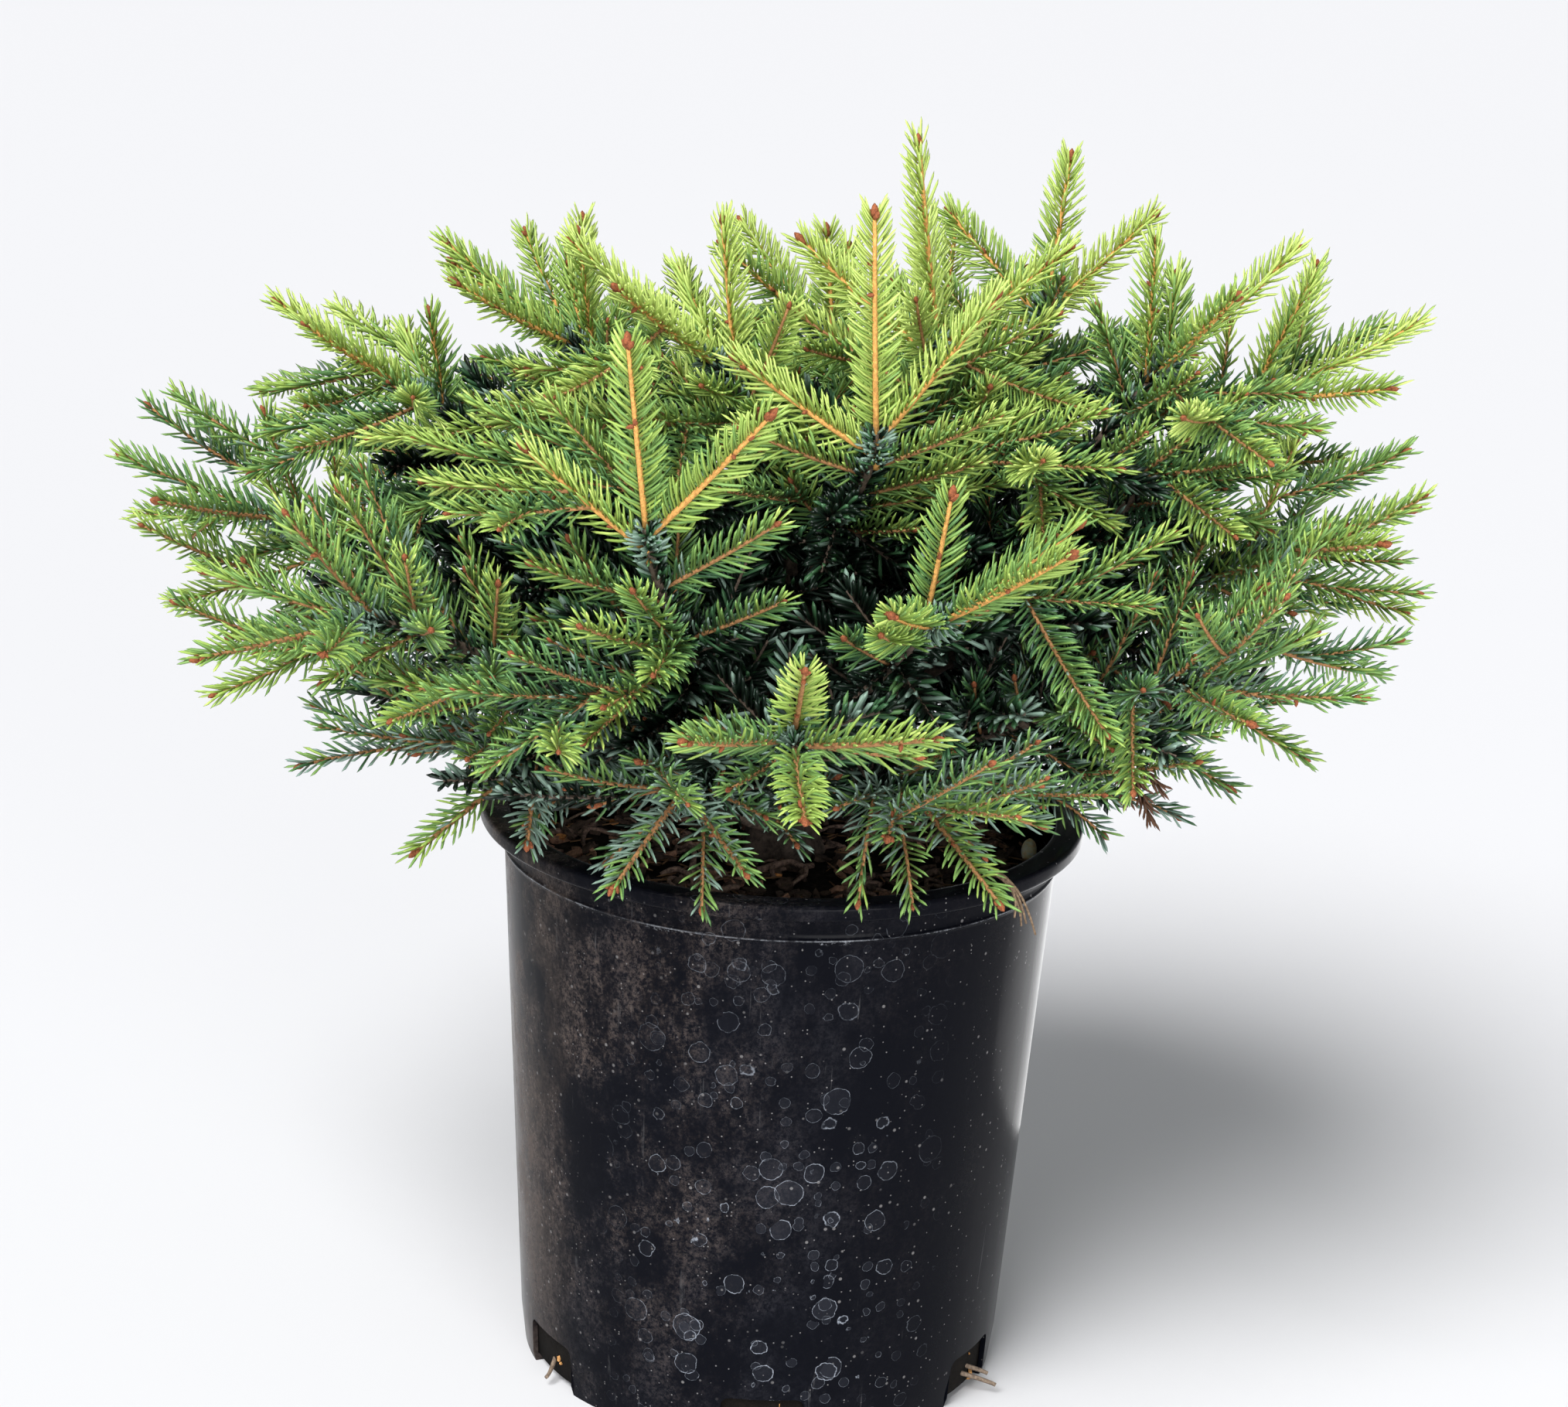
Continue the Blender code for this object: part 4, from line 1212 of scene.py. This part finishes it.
# The trunk's bark is darker than the boughs', partly its own colour and partly painted shade under the crown.
trunk_bark = bark_finish("trunk bark", (0.020, 0.015, 0.012), (0.075, 0.056, 0.045), 260.0, 0.0010)
bud_scales = bark_finish("bud scales", (0.13, 0.040, 0.020), (0.30, 0.095, 0.040), 1400.0, 0.0002)


# Building the crown

outer_shoots = grow_all()
for depth in OUTER_DEPTHS:
    outer_shoots += grow_fill(outer_shoots, depth, FILL_APART, FILL_RANK)
outer_shoots += grow_fine(outer_shoots)
inner_shoots = []
for depth in INNER_DEPTHS:
    inner_shoots += grow_fill(outer_shoots + inner_shoots, depth, FILL_APART * INNER_CLOSER, INNER_RANK)
inner_shoots += grow_inner(outer_shoots + inner_shoots)
make_needles(outer_shoots + inner_shoots)

for (tier, shade), rows in sorted(heaps.items()):
    masses = [f"needles_{limb.name}" for limb in LIMBS if limb.tier.name == tier]
    sizes = sorted({row.shape[1] for row in rows})
    alike = [np.concatenate([row for row in rows if row.shape[1] == size]) for size in sizes]
    mesh = joined([needle_mesh(needles) for needles in alike])
    new_piece(f"needles_{tier}_{shade}", *mesh, needle_looks[shade], f"needles_{tier}", masses)


def make_twigs(shoots, name, look, rings=7, sides=5):
    """The shoots' own twigs: round, tapering, closed at both ends."""
    shares = np.linspace(0, 1, rings)
    paths = np.stack([shoot_axis(item.shoot, shares) for item in shoots])
    thick = np.array([MAIN_TWIG_RADIUS if item.rank < MAIN_RANKS else SIDE_TWIG_RADIUS for item in shoots])
    radii = thick[:, None] * (1 - TWIG_TAPER * shares[None])
    new_piece(name, *carried_rings(paths, radii, sides), look, "bough_bark")


def is_bright(item):
    return item.rank < MAIN_RANKS and LIMBS[item.limb].tier.name in ("mid", "high", "leader")


make_twigs([item for item in outer_shoots if is_bright(item)], "twigs_new", new_bark)
make_twigs([item for item in outer_shoots if not is_bright(item)], "twigs_side", side_bark)
make_twigs(inner_shoots, "twigs_old", old_bark, 4, 4)


def make_boughs():
    """Boughs and stems: one tapering limb each, its skin moved in and out by noise of two sizes."""
    rings, sides = 64, 10
    shares = np.linspace(0, 1, rings)
    paths = np.stack([curve_at(limb.handles, shares) for limb in LIMBS])
    radii = np.interp(shares, (0, BOUGH_SHARE, 1), (BOUGH_ROOT_RADIUS, BOUGH_END_RADIUS, STEM_TIP_RADIUS))
    points, faces = carried_rings(paths, np.repeat(radii[None], len(LIMBS), axis=0), sides)
    body = points.reshape(len(LIMBS), rings * sides + 2, 3)
    skin = body[:, :-2].reshape(len(LIMBS), rings, sides, 3)
    flat = skin.reshape(-1, 3)
    rough = relief(flat, 520.0) * 0.16 + relief(flat, 190.0, 1) * 0.14
    skin = skin + (skin - paths[:, :, None]) * rough.reshape(len(LIMBS), rings, sides, 1)
    body = np.concatenate((skin.reshape(len(LIMBS), -1, 3), body[:, -2:]), axis=1)
    nodes = [f"bough_{limb.name}" for limb in LIMBS]
    new_piece("boughs", body.reshape(-1, 3), faces, old_bark, "bough_bark", nodes)


def make_trunk():
    """Trunk: radius by height and angle, with upright flakes as relief, capped at both ends."""
    rings, sides = 90, 72
    heights = SOIL_LEVEL - 0.004 + (TRUNK_TOP - SOIL_LEVEL + 0.004) * np.linspace(0, 1, rings)
    height, angle = np.meshgrid(heights, circle(sides), indexing="ij")
    around = np.stack((np.cos(angle), np.sin(angle), height * 18), -1).reshape(-1, 3)
    flakes = relief(around * (9, 9, 1.6), 1.0, 3) + 0.5 * relief(around * (22, 22, 5), 1.0, 4)
    radius = trunk_radius(np.maximum(height, SOIL_LEVEL), angle) * (1 + 0.075 * flakes.reshape(height.shape))
    centres = np.array([trunk_centre(value) for value in heights])
    skin = turned(radius, angle, height) + np.repeat(centres * (1, 1, 0), sides, axis=0)
    points = np.concatenate((skin, centres[:1], centres[-1:]))
    new_piece("trunk_skin", points, capped_faces(rings, sides), trunk_bark, "trunk_bark", ["trunk"])


def make_buds():
    """Buds at all tips, and beside and along the main shoots: spindles, widest near a third."""
    shares = np.array((0.0, 0.38, 0.76, 1.0))
    swell = np.array((0.60, 1.0, 0.66, 0.12))
    draw = np.random.default_rng(7)
    paths, radii = [], []

    def bud(start, length, radius):
        paths.append(start + length * shares[:, None])
        radii.append(radius * swell)

    for item in outer_shoots:
        main = item.rank < MAIN_RANKS
        before, end = shoot_axis(item.shoot, (0.97, 1.0))
        along = unit(end - before)
        size = draw.uniform(0.8, 1.15) * (0.0016 if main else 0.0012)
        bud(end - along * 0.0008, along * size * 3.0, size)
        if not main:
            continue
        for turn in (-1, 1):
            side = unit(np.cross(along, (0.3, 0.2, 1.0))) * turn
            bud(end - along * 0.0015, unit(along + side * 0.8) * size * 2.4, size * 0.75)
        for share in draw.uniform(0.25, 0.92, 2):
            toward = unit(along * 0.7 + unit(draw.normal(0, 1, 3)))
            bud(shoot_axis(item.shoot, share)[0] + toward * 0.0004, toward * 0.0030, 0.00095)
    new_piece("buds", *carried_rings(np.array(paths), np.array(radii), 5), bud_scales, "bough_bark")


make_boughs()
make_trunk()
make_buds()


# Building the pot


def foot_outline():
    """Angle and lowest height of the wall round the pot: flat on the ground, and up over each notch."""
    half = NOTCH_WIDTH / 2
    corner = np.linspace(0, np.pi / 2, 7)
    across = [-half - 0.0004, -half - 0.0003, -half - 0.0002]
    heights = [0.0, 0.004, NOTCH_HEIGHT - NOTCH_CORNER - 0.002]
    across += list(-half + NOTCH_CORNER * (1 - np.cos(corner)))
    heights += list(NOTCH_HEIGHT - NOTCH_CORNER * (1 - np.sin(corner)))
    rising = list(zip(across, heights))
    whole = rising + [(x, NOTCH_HEIGHT) for x in (-0.006, 0.0, 0.006)]
    whole += [(-x, z) for x, z in reversed(rising)]
    angles, lows = [], []
    span = 2 * np.pi / NOTCHES
    notch_half = whole[-1][0] / FOOT_RADIUS
    for notch in range(NOTCHES):
        centre = math.radians(NOTCH_BEARING - 90) + span * notch
        rest = np.linspace(centre + notch_half, centre + span - notch_half, 34)[1:-1]
        angles += [centre + x / FOOT_RADIUS for x, _ in whole] + list(rest)
        lows += [z for _, z in whole] + [0.0] * len(rest)
    return np.array(angles), np.array(lows)


def make_pot_wall():
    """Wall, lip and lining as one closed sheet: rows go up outside, over the lip and down inside.

    A row is a radius and a height, and the last one joins the first. Rows of the plain wall start
    at the foot's outline, so the notches are open, and all columns share the outline's angles.
    """
    angles, lows = foot_outline()
    under = POT_HEIGHT - LIP_HEIGHT
    seam = POT_HEIGHT - SEAM_DROP
    top = POT_HEIGHT - LIP_ROUND
    rows = []

    def ring(radius, height):
        rows.append(np.broadcast_arrays(radius, height, lows)[:2])

    def rounding(radius, height, degrees):
        """Part of the lip's rounded edge, about this centre."""
        for angle in map(math.radians, degrees):
            ring(radius + LIP_ROUND * math.cos(angle), height + LIP_ROUND * math.sin(angle))

    for share in np.linspace(0, 1, 15):
        height = lows + (seam - 0.0012 - lows) * share
        ring(wall_radius(height) - 0.0010 * np.exp(-height / 0.0008) * (lows < 0.001), height)
    for step in np.linspace(-1, 1, 9):
        proud = SEAM_PROUD * math.cos(step * math.pi / 2) ** 1.2 if abs(step) < 1 else 0.0
        height = seam + SEAM_HEIGHT / 2 + step * SEAM_HEIGHT * 0.62
        ring(wall_radius(height) + proud, height)
    for height in np.linspace(seam + 0.004, under - 0.0012, 4):
        ring(wall_radius(height), height)
    ring(NECK_RADIUS + 0.0004, under - 0.0003)
    for radius in (NECK_RADIUS + 0.0014, 0.1095, 0.1125):
        ring(radius, under)
    rounding(LIP_RADIUS - LIP_ROUND, under + LIP_ROUND, np.linspace(-90, 0, 6))
    rounding(LIP_RADIUS - LIP_ROUND, top, np.linspace(0, 90, 7))
    for radius in (0.1100, 0.1066):
        ring(radius, POT_HEIGHT)
    rounding(0.1056, top, np.linspace(90, 180, 6)[1:])
    for share in np.linspace(0.02, 1, 12):
        height = top + (np.maximum(lows, FLOOR) - top) * share
        ring(inner_radius(height), height)
    radius, height = np.array(rows).transpose(1, 0, 2)
    faces = grid_faces(len(rows) + 1, len(angles)) % (len(rows) * len(angles))
    return turned(radius, angles, height), faces


def make_pot_floor():
    """Floor: a flat plate between two heights, its edge drawn in where the notches bite into it."""
    angles, lows = foot_outline()
    edge = np.where(lows > 0.002, FOOT_RADIUS - NOTCH_DEPTH, FOOT_RADIUS - WALL * 0.6)
    shares = (0.02, 0.5, 1, 1, 0.5, 0.02)
    heights = np.array((0.0, 0.0, 0.0002, FLOOR, FLOOR, FLOOR))
    points = turned(np.outer(shares, edge), angles, heights[:, None])
    return np.concatenate((points, [(0, 0, 0)], [(0, 0, FLOOR)])), capped_faces(len(shares), len(angles))


black_plastic = pot_finish()
new_piece("pot_wall", *make_pot_wall(), black_plastic, "pot_plastic", ["pot"], 50)
new_piece("pot_floor", *make_pot_floor(), black_plastic, "pot_plastic", ["pot"], 50)


# Building the soil


def soil_height(points):
    """Height of the soil: its level, lower at the pot's wall, with lumps of two sizes."""
    flat = points * (1, 1, 0)
    radius = np.hypot(points[:, 0], points[:, 1])
    lumps = relief(flat, 85.0, 5) * 0.6 + relief(flat, 240.0, 6) * 0.4
    near_trunk = np.clip((radius - 0.014) / 0.02, 0, 1)
    return SOIL_LEVEL - 0.0015 + SOIL_RELIEF * lumps * near_trunk - 0.004 * np.clip(radius / 0.102, 0, 1) ** 6


def make_soil():
    """Soil: rings out from the middle over the lumpy top, then down the pot's lining and under."""
    sides = 180
    radii = np.linspace(0.001, inner_radius(SOIL_LEVEL) - GAP, 66)
    top = turned(radii[:, None], circle(sides), 0.0)
    top[:, 2] = soil_height(top)
    downs = np.linspace(SOIL_LEVEL - 0.010, FLOOR + GAP, 20)[:, None]
    lining = turned(inner_radius(downs) - GAP, circle(sides), downs)
    points = np.concatenate((top, lining, [(0, 0, top[0, 2])], [(0, 0, FLOOR + GAP)]))
    faces = capped_faces(len(radii) + len(downs), sides)[:, ::-1]
    earth = soil_finish("damp soil", (0.009, 0.007, 0.006), (0.034, 0.025, 0.020))
    new_piece("soil_top", points, faces, earth, "soil", ["soil"])


def on_soil(draw, count, low=0.018, high=SOIL_EDGE):
    """Random places on the soil, even over its area."""
    radius = np.sqrt(draw.uniform(low**2, high**2, count))
    places = turned(radius, draw.uniform(0, 2 * np.pi, count), 0.0)
    places[:, 2] = soil_height(places)
    return places


def litter_bark(name, colours, scale=700.0, depth=0.0002):
    return bark_finish(name.replace("_", " "), *colours, scale, depth)


def make_flakes(name, places, tilts, size, colours, draw):
    """Flakes of bark: flat six-sided chips about their places, each with its own turn and tilt."""
    count = len(places)
    corners = np.linspace(0, 2 * np.pi, 7)[:6]
    outline = np.stack((np.cos(corners), np.sin(corners)), -1)[None] * draw.uniform(0.65, 1.1, (count, 6, 1))
    long = size * draw.uniform(0.5, 1.3, (count, 1))
    wide = long * draw.uniform(0.30, 0.75, (count, 1))
    thick = (0, 0, 1) * (long * draw.uniform(0.10, 0.24, (count, 1)))[..., None]
    flat = np.stack((outline[..., 0] * long, outline[..., 1] * wide, np.zeros((count, 6))), -1)
    both = np.concatenate((flat + thick, flat * 0.92 - thick), axis=1)
    turns = np.array([
        Matrix.Rotation(draw.uniform(0, 6.28), 3, "Z")
        @ Matrix.Rotation(draw.normal(0, tilts), 3, "X")
        @ Matrix.Rotation(draw.normal(0, tilts), 3, "Y")
        for _ in range(count)
    ])
    points = np.einsum("nij,nkj->nki", turns, both) + places[:, None]
    faces = [(0, k, k + 1) for k in range(1, 5)] + [(6, 7 + k, 6 + k) for k in range(1, 5)]
    for k in range(6):
        following = (k + 1) % 6
        faces += [(6 + k, 6 + following, following), (6 + k, following, k)]
    look = litter_bark(name, colours, 500.0, 0.0006)
    new_piece(name, points.reshape(-1, 3), repeated(faces, count, 12), look, "soil", (), 30)


def make_chips(name, count, size, dark, light, seed):
    """Flakes scattered over the soil."""
    draw = np.random.default_rng(seed)
    make_flakes(name, on_soil(draw, count) + (0, 0, 0.0007), 0.35, size, (dark, light), draw)


def make_notch_chips():
    """Bark flakes that show in the notches: most in the front one, some in the rest."""
    draw = np.random.default_rng(31)
    notch = np.repeat(np.arange(NOTCHES), [22] + [3] * (NOTCHES - 1))
    angles = np.radians(NOTCH_BEARING - 90 + 360 / NOTCHES * notch) + draw.uniform(-0.11, 0.13, len(notch))
    radius = draw.uniform(0.0905, 0.0922, len(notch))
    places = turned(radius, angles, draw.uniform(0.0050, 0.0155, len(notch)))
    make_flakes("notch_chips", places, 1.2, 0.0030, ((0.30, 0.13, 0.04), (0.62, 0.32, 0.11)), draw)


def make_roots(name, count, length, radius, dark, light, seed):
    """Fine roots lying on the soil: thin tubes whose heading winds as they go."""
    draw = np.random.default_rng(seed)
    rings = 14
    places = on_soil(draw, count, 0.022, 0.090)
    step = (length * draw.uniform(0.6, 1.3, count) / (rings - 1))[:, None]
    turn = draw.uniform(0, 6.28, count)[:, None] + np.cumsum(draw.normal(0, 0.42, (count, rings)), axis=1)
    turn += draw.uniform(-0.16, 0.16, count)[:, None] * np.arange(rings)
    paths = np.zeros((count, rings, 3))
    paths[..., 0] = places[:, :1] + np.cumsum(np.cos(turn) * step, axis=1)
    paths[..., 1] = places[:, 1:2] + np.cumsum(np.sin(turn) * step, axis=1)
    far = np.hypot(paths[..., 0], paths[..., 1])
    paths *= np.minimum(1, SOIL_EDGE / np.maximum(far, 1e-6))[..., None]
    arch = np.sin(np.linspace(0, np.pi, rings))[None] * draw.uniform(0.0, 0.004, count)[:, None]
    paths[..., 2] = soil_height(paths.reshape(-1, 3)).reshape(count, rings) + radius * 0.7 + arch
    taper = radius * (1 - 0.5 * np.linspace(0, 1, rings))[None] * draw.uniform(0.7, 1.25, count)[:, None]
    new_piece(name, *carried_rings(paths, taper, 6), litter_bark(name, (dark, light)), "soil")


CHIPS = (
    ("dark_bark_chips", 420, 0.0046, (0.016, 0.011, 0.009), (0.075, 0.050, 0.038), 21),
    ("brown_bark_chips", 170, 0.0048, (0.070, 0.040, 0.028), (0.300, 0.165, 0.110), 22),
    ("orange_bark_chips", 26, 0.0028, (0.30, 0.11, 0.03), (0.55, 0.24, 0.08), 23),
)
ROOTS = (
    ("tan_roots", 16, 0.026, 0.00055, (0.11, 0.078, 0.058), (0.27, 0.19, 0.14), 24),
    ("brown_roots", 44, 0.024, 0.00105, (0.060, 0.040, 0.032), (0.210, 0.140, 0.110), 25),
    ("thick_roots", 24, 0.030, 0.00150, (0.060, 0.042, 0.034), (0.215, 0.145, 0.115), 26),
)
make_soil()
for chips in CHIPS:
    make_chips(*chips)
for roots in ROOTS:
    make_roots(*roots)
make_notch_chips()


def make_strands(name, lines, radius, colours):
    """Straws and sticks: tubes along smooth curves through four handles each."""
    shares = np.linspace(0, 1, 10)
    paths = np.array([curve_at(np.array(line), shares) for line in lines])
    radii = np.repeat(radius * (1 - 0.35 * shares)[None], len(lines), axis=0)
    new_piece(name, *carried_rings(paths, radii, 6), litter_bark(name, colours), "soil")


def make_rim_straws():
    """A few tan straws that lie over the lip at the front right and hang down outside it."""
    draw = np.random.default_rng(41)
    lines = []
    for _ in range(5):
        shift = draw.normal(0, 0.0013, 3) * (1, 1, 0.2)
        lean = draw.normal(0, 0.0022, 3)
        lines.append((
            np.array((0.0740, -0.0700, 0.2245)) + shift - lean * 0.5,
            np.array((0.0815, -0.0775, 0.2262)) + shift,
            np.array((0.0862, -0.0835, 0.2235)) + shift,
            np.array((0.0878, -0.0838, 0.2085)) + shift + lean * (1, 0.3, 1.6),
        ))
    make_strands("rim_straws", lines, 0.00062, ((0.10, 0.065, 0.040), (0.26, 0.180, 0.115)))


def make_sticks():
    """Dead sticks that poke out of the side notches, and one lying on the soil."""
    lines = []
    for bearing, inner, outer, low, high in (
        (61, 0.085, 0.104, 0.010, 0.0045),
        (63, 0.086, 0.099, 0.012, 0.0065),
        (-58, 0.086, 0.098, 0.011, 0.0040),
    ):
        start, end = heading(bearing - 2, 0) * inner, heading(bearing + 3, 0) * outer
        within = (start + (0, 0, low), start * 1.04 + (0, 0, low))
        lines.append((*within, end * 0.97 + (0, 0, high + 0.001), end + (0, 0, high)))
    lines.append((
        (0.074, 0.030, 0.2075),
        (0.080, 0.033, 0.2100),
        (0.088, 0.036, 0.2100),
        (0.095, 0.034, 0.2070),
    ))
    make_strands("dead_sticks", lines, 0.00115, ((0.07, 0.050, 0.036), (0.20, 0.150, 0.110)))


def make_seed():
    """A pale seed on the soil by the right of the lip: a spindle, fattest near its lower end."""
    shares = np.linspace(0, 1, 9)
    place = np.array((0.0955, 0.0060, 0.0))
    start = place + (0, 0, soil_height(place[None])[0] + 0.0014)
    path = start + np.array((0.0006, 0.0024, 0.0078)) * shares[:, None]
    swell = 0.0030 * np.sqrt(np.clip(1 - (2 * shares - 0.85) ** 2 / 1.35, 0.02, 1))
    pale = bark_finish("pale seed", (0.95, 0.58, 0.20), (1.0, 0.90, 0.60), 260.0, 0.0001)
    new_piece("pale_seed", *carried_rings(path[None], swell[None], 12), pale, "soil")


def make_litter():
    """Fallen needles lying on the soil, turned every way."""
    draw = np.random.default_rng(43)
    count = 260
    turn = draw.uniform(0, 2 * np.pi, count)
    along = units(np.column_stack((np.cos(turn), np.sin(turn), draw.normal(0, 0.10, count))))
    across = np.column_stack((-np.sin(turn), np.cos(turn), np.zeros(count)))
    places = on_soil(draw, count, 0.018, 0.092) + (0, 0, 0.0016)
    lean, lengths = draw.normal(0, 0.2, count), draw.uniform(0.007, 0.012, count)
    rows = needle_rows(places, along, across, lean, lengths, np.full(count, 0.0010), SLIM_NEEDLE)
    brown = Finish("fallen needles", (0.20, 0.115, 0.060), 0.7, 0.2)
    new_piece("fallen_needles", *needle_mesh(rows), brown, "soil")


def make_dead_sprig():
    """One brown dead sprig under the crown's right side, hanging from the nearest twig."""
    wanted = np.array((0.1135, -0.040, 0.2640))
    axes = np.vstack([item.axis[3:] for item in outer_shoots])
    root = axes[np.argmin(((axes - wanted) ** 2).sum(axis=1))]
    draw = np.random.default_rng(47)
    twigs, rows = [], []
    for lean, length in (
        ((0.45, -0.15, -0.88), 0.024),
        ((0.75, -0.25, -0.55), 0.017),
        ((0.10, -0.35, -0.90), 0.016),
    ):
        shoot = Shoot(root, unit(np.array(lean)), length, -0.1, 0.0)
        twigs.append(Grown(0, None, shoot, FILL_RANK))
        count = int(length * 1500)
        shares = 0.2 + 0.8 * (np.arange(count) + 0.5) / count
        roots, tangents = shoot_arrays(shoot, shares)
        around = (GOLDEN_ANGLE * np.arange(count))[:, None]
        across = units(np.cross(tangents, (0.3, 0.9, 0.1)))
        outs = across * np.cos(around) + np.cross(across, tangents) * np.sin(around)
        leans, lengths = np.radians(draw.normal(30, 10, count)), draw.uniform(0.006, 0.009, count)
        rows.append(needle_rows(roots, tangents, outs, leans, lengths, np.full(count, 0.0012), SLIM_NEEDLE))
    brown = Finish("dead needles", (0.155, 0.080, 0.050), 0.75, 0.15)
    new_piece("dead_needles", *needle_mesh(np.concatenate(rows)), brown, "needles_skirt")
    make_twigs(twigs, "dead_twigs", old_bark)


make_rim_straws()
make_sticks()
make_seed()
make_litter()
make_dead_sprig()


# Studio: a pale floor, soft light all round and the camera at the photograph's angle

STUDIO_REACH = 40.0


def make_floor():
    mesh = bpy.data.meshes.new("studio floor")
    corners = ((-1, -1), (1, -1), (1, 1), (-1, 1))
    mesh.from_pydata([(STUDIO_REACH * x, STUDIO_REACH * y, 0) for x, y in corners], [], [(0, 1, 2, 3)])
    floor = linked("studio_floor", mesh)
    mesh.materials.append(Finish("pale floor", (0.72, 0.72, 0.735), 0.6, 0.0).material)


def make_lamp(name, kind, power, axis, toward, **settings):
    """A lamp turned so that this axis of it points that way."""
    lamp = bpy.data.lights.new(name, kind)
    lamp.energy = power
    for key, value in settings.items():
        setattr(lamp, key, value)
    made = linked(name, lamp)
    made.rotation_mode = "QUATERNION"
    made.rotation_quaternion = Vector(toward).to_track_quat(axis, "Y")
    return made


def make_panel(name, place, aim, size, power):
    """A round light at a place, turned to what it lights."""
    panel = make_lamp(name, "AREA", power, "-Z", Vector(aim) - Vector(place), shape="DISK", size=size)
    panel.location = place
    return panel


def make_sky():
    """Soft light from all round: pale at the height of the plant and dimmer above and below."""
    world = bpy.data.worlds.new("soft sky")
    sky = Nodes(world)
    split = sky.add("SeparateXYZ", {0: sky.add("TexCoord", {})["Generated"]})
    strength = sky.steps(sky.calc("ABSOLUTE", split["Z"], 0.0), 0.0, 0.55, 0.85, 0.22)
    sky.fill(world.node_tree.nodes["Background"], {"Color": (0.93, 0.96, 1.0, 1.0), "Strength": strength})
    bpy.context.scene.world = world


def make_camera():
    """The photograph's camera: 1.3 m from the crown's middle, 17 degrees up, turned a little."""
    rise, roll = math.radians(CAMERA_RISE), math.radians(CAMERA_ROLL)
    back = Vector((0, -math.cos(rise), math.sin(rise)))
    right = Vector((1, 0, 0))
    upward = right.cross(-back)
    level = math.cos(roll) * right + math.sin(roll) * upward
    tall = -math.sin(roll) * right + math.cos(roll) * upward
    lens = bpy.data.cameras.new("camera")
    lens.sensor_width = SENSOR
    lens.lens = FOCAL_PIXELS * SENSOR / IMAGE_WIDTH
    camera = linked("camera", lens)
    turn = Matrix((level, tall, back)).transposed().to_4x4()
    camera.matrix_world = Matrix.Translation(Vector(CAMERA_AIM) + back * CAMERA_AWAY) @ turn
    bpy.context.scene.camera = camera


make_floor()
make_lamp("overhead sun", "SUN", 4.15, "Z", (-0.45, -0.78, 1.08), angle=math.radians(34))
make_panel("front fill", (0.9, -2.2, 0.40), (0, 0, 0.27), 1.4, 37)
# A low panel behind the right side shows only as a sheen on the pot's edge
side_panel = make_panel("side panel", (0.20, 0.18, 0.03), (0.09, 0, 0.10), 0.34, 0.42)
side_panel.visible_diffuse = False
make_sky()
bpy.context.scene.view_settings.view_transform = "Standard"
make_camera()
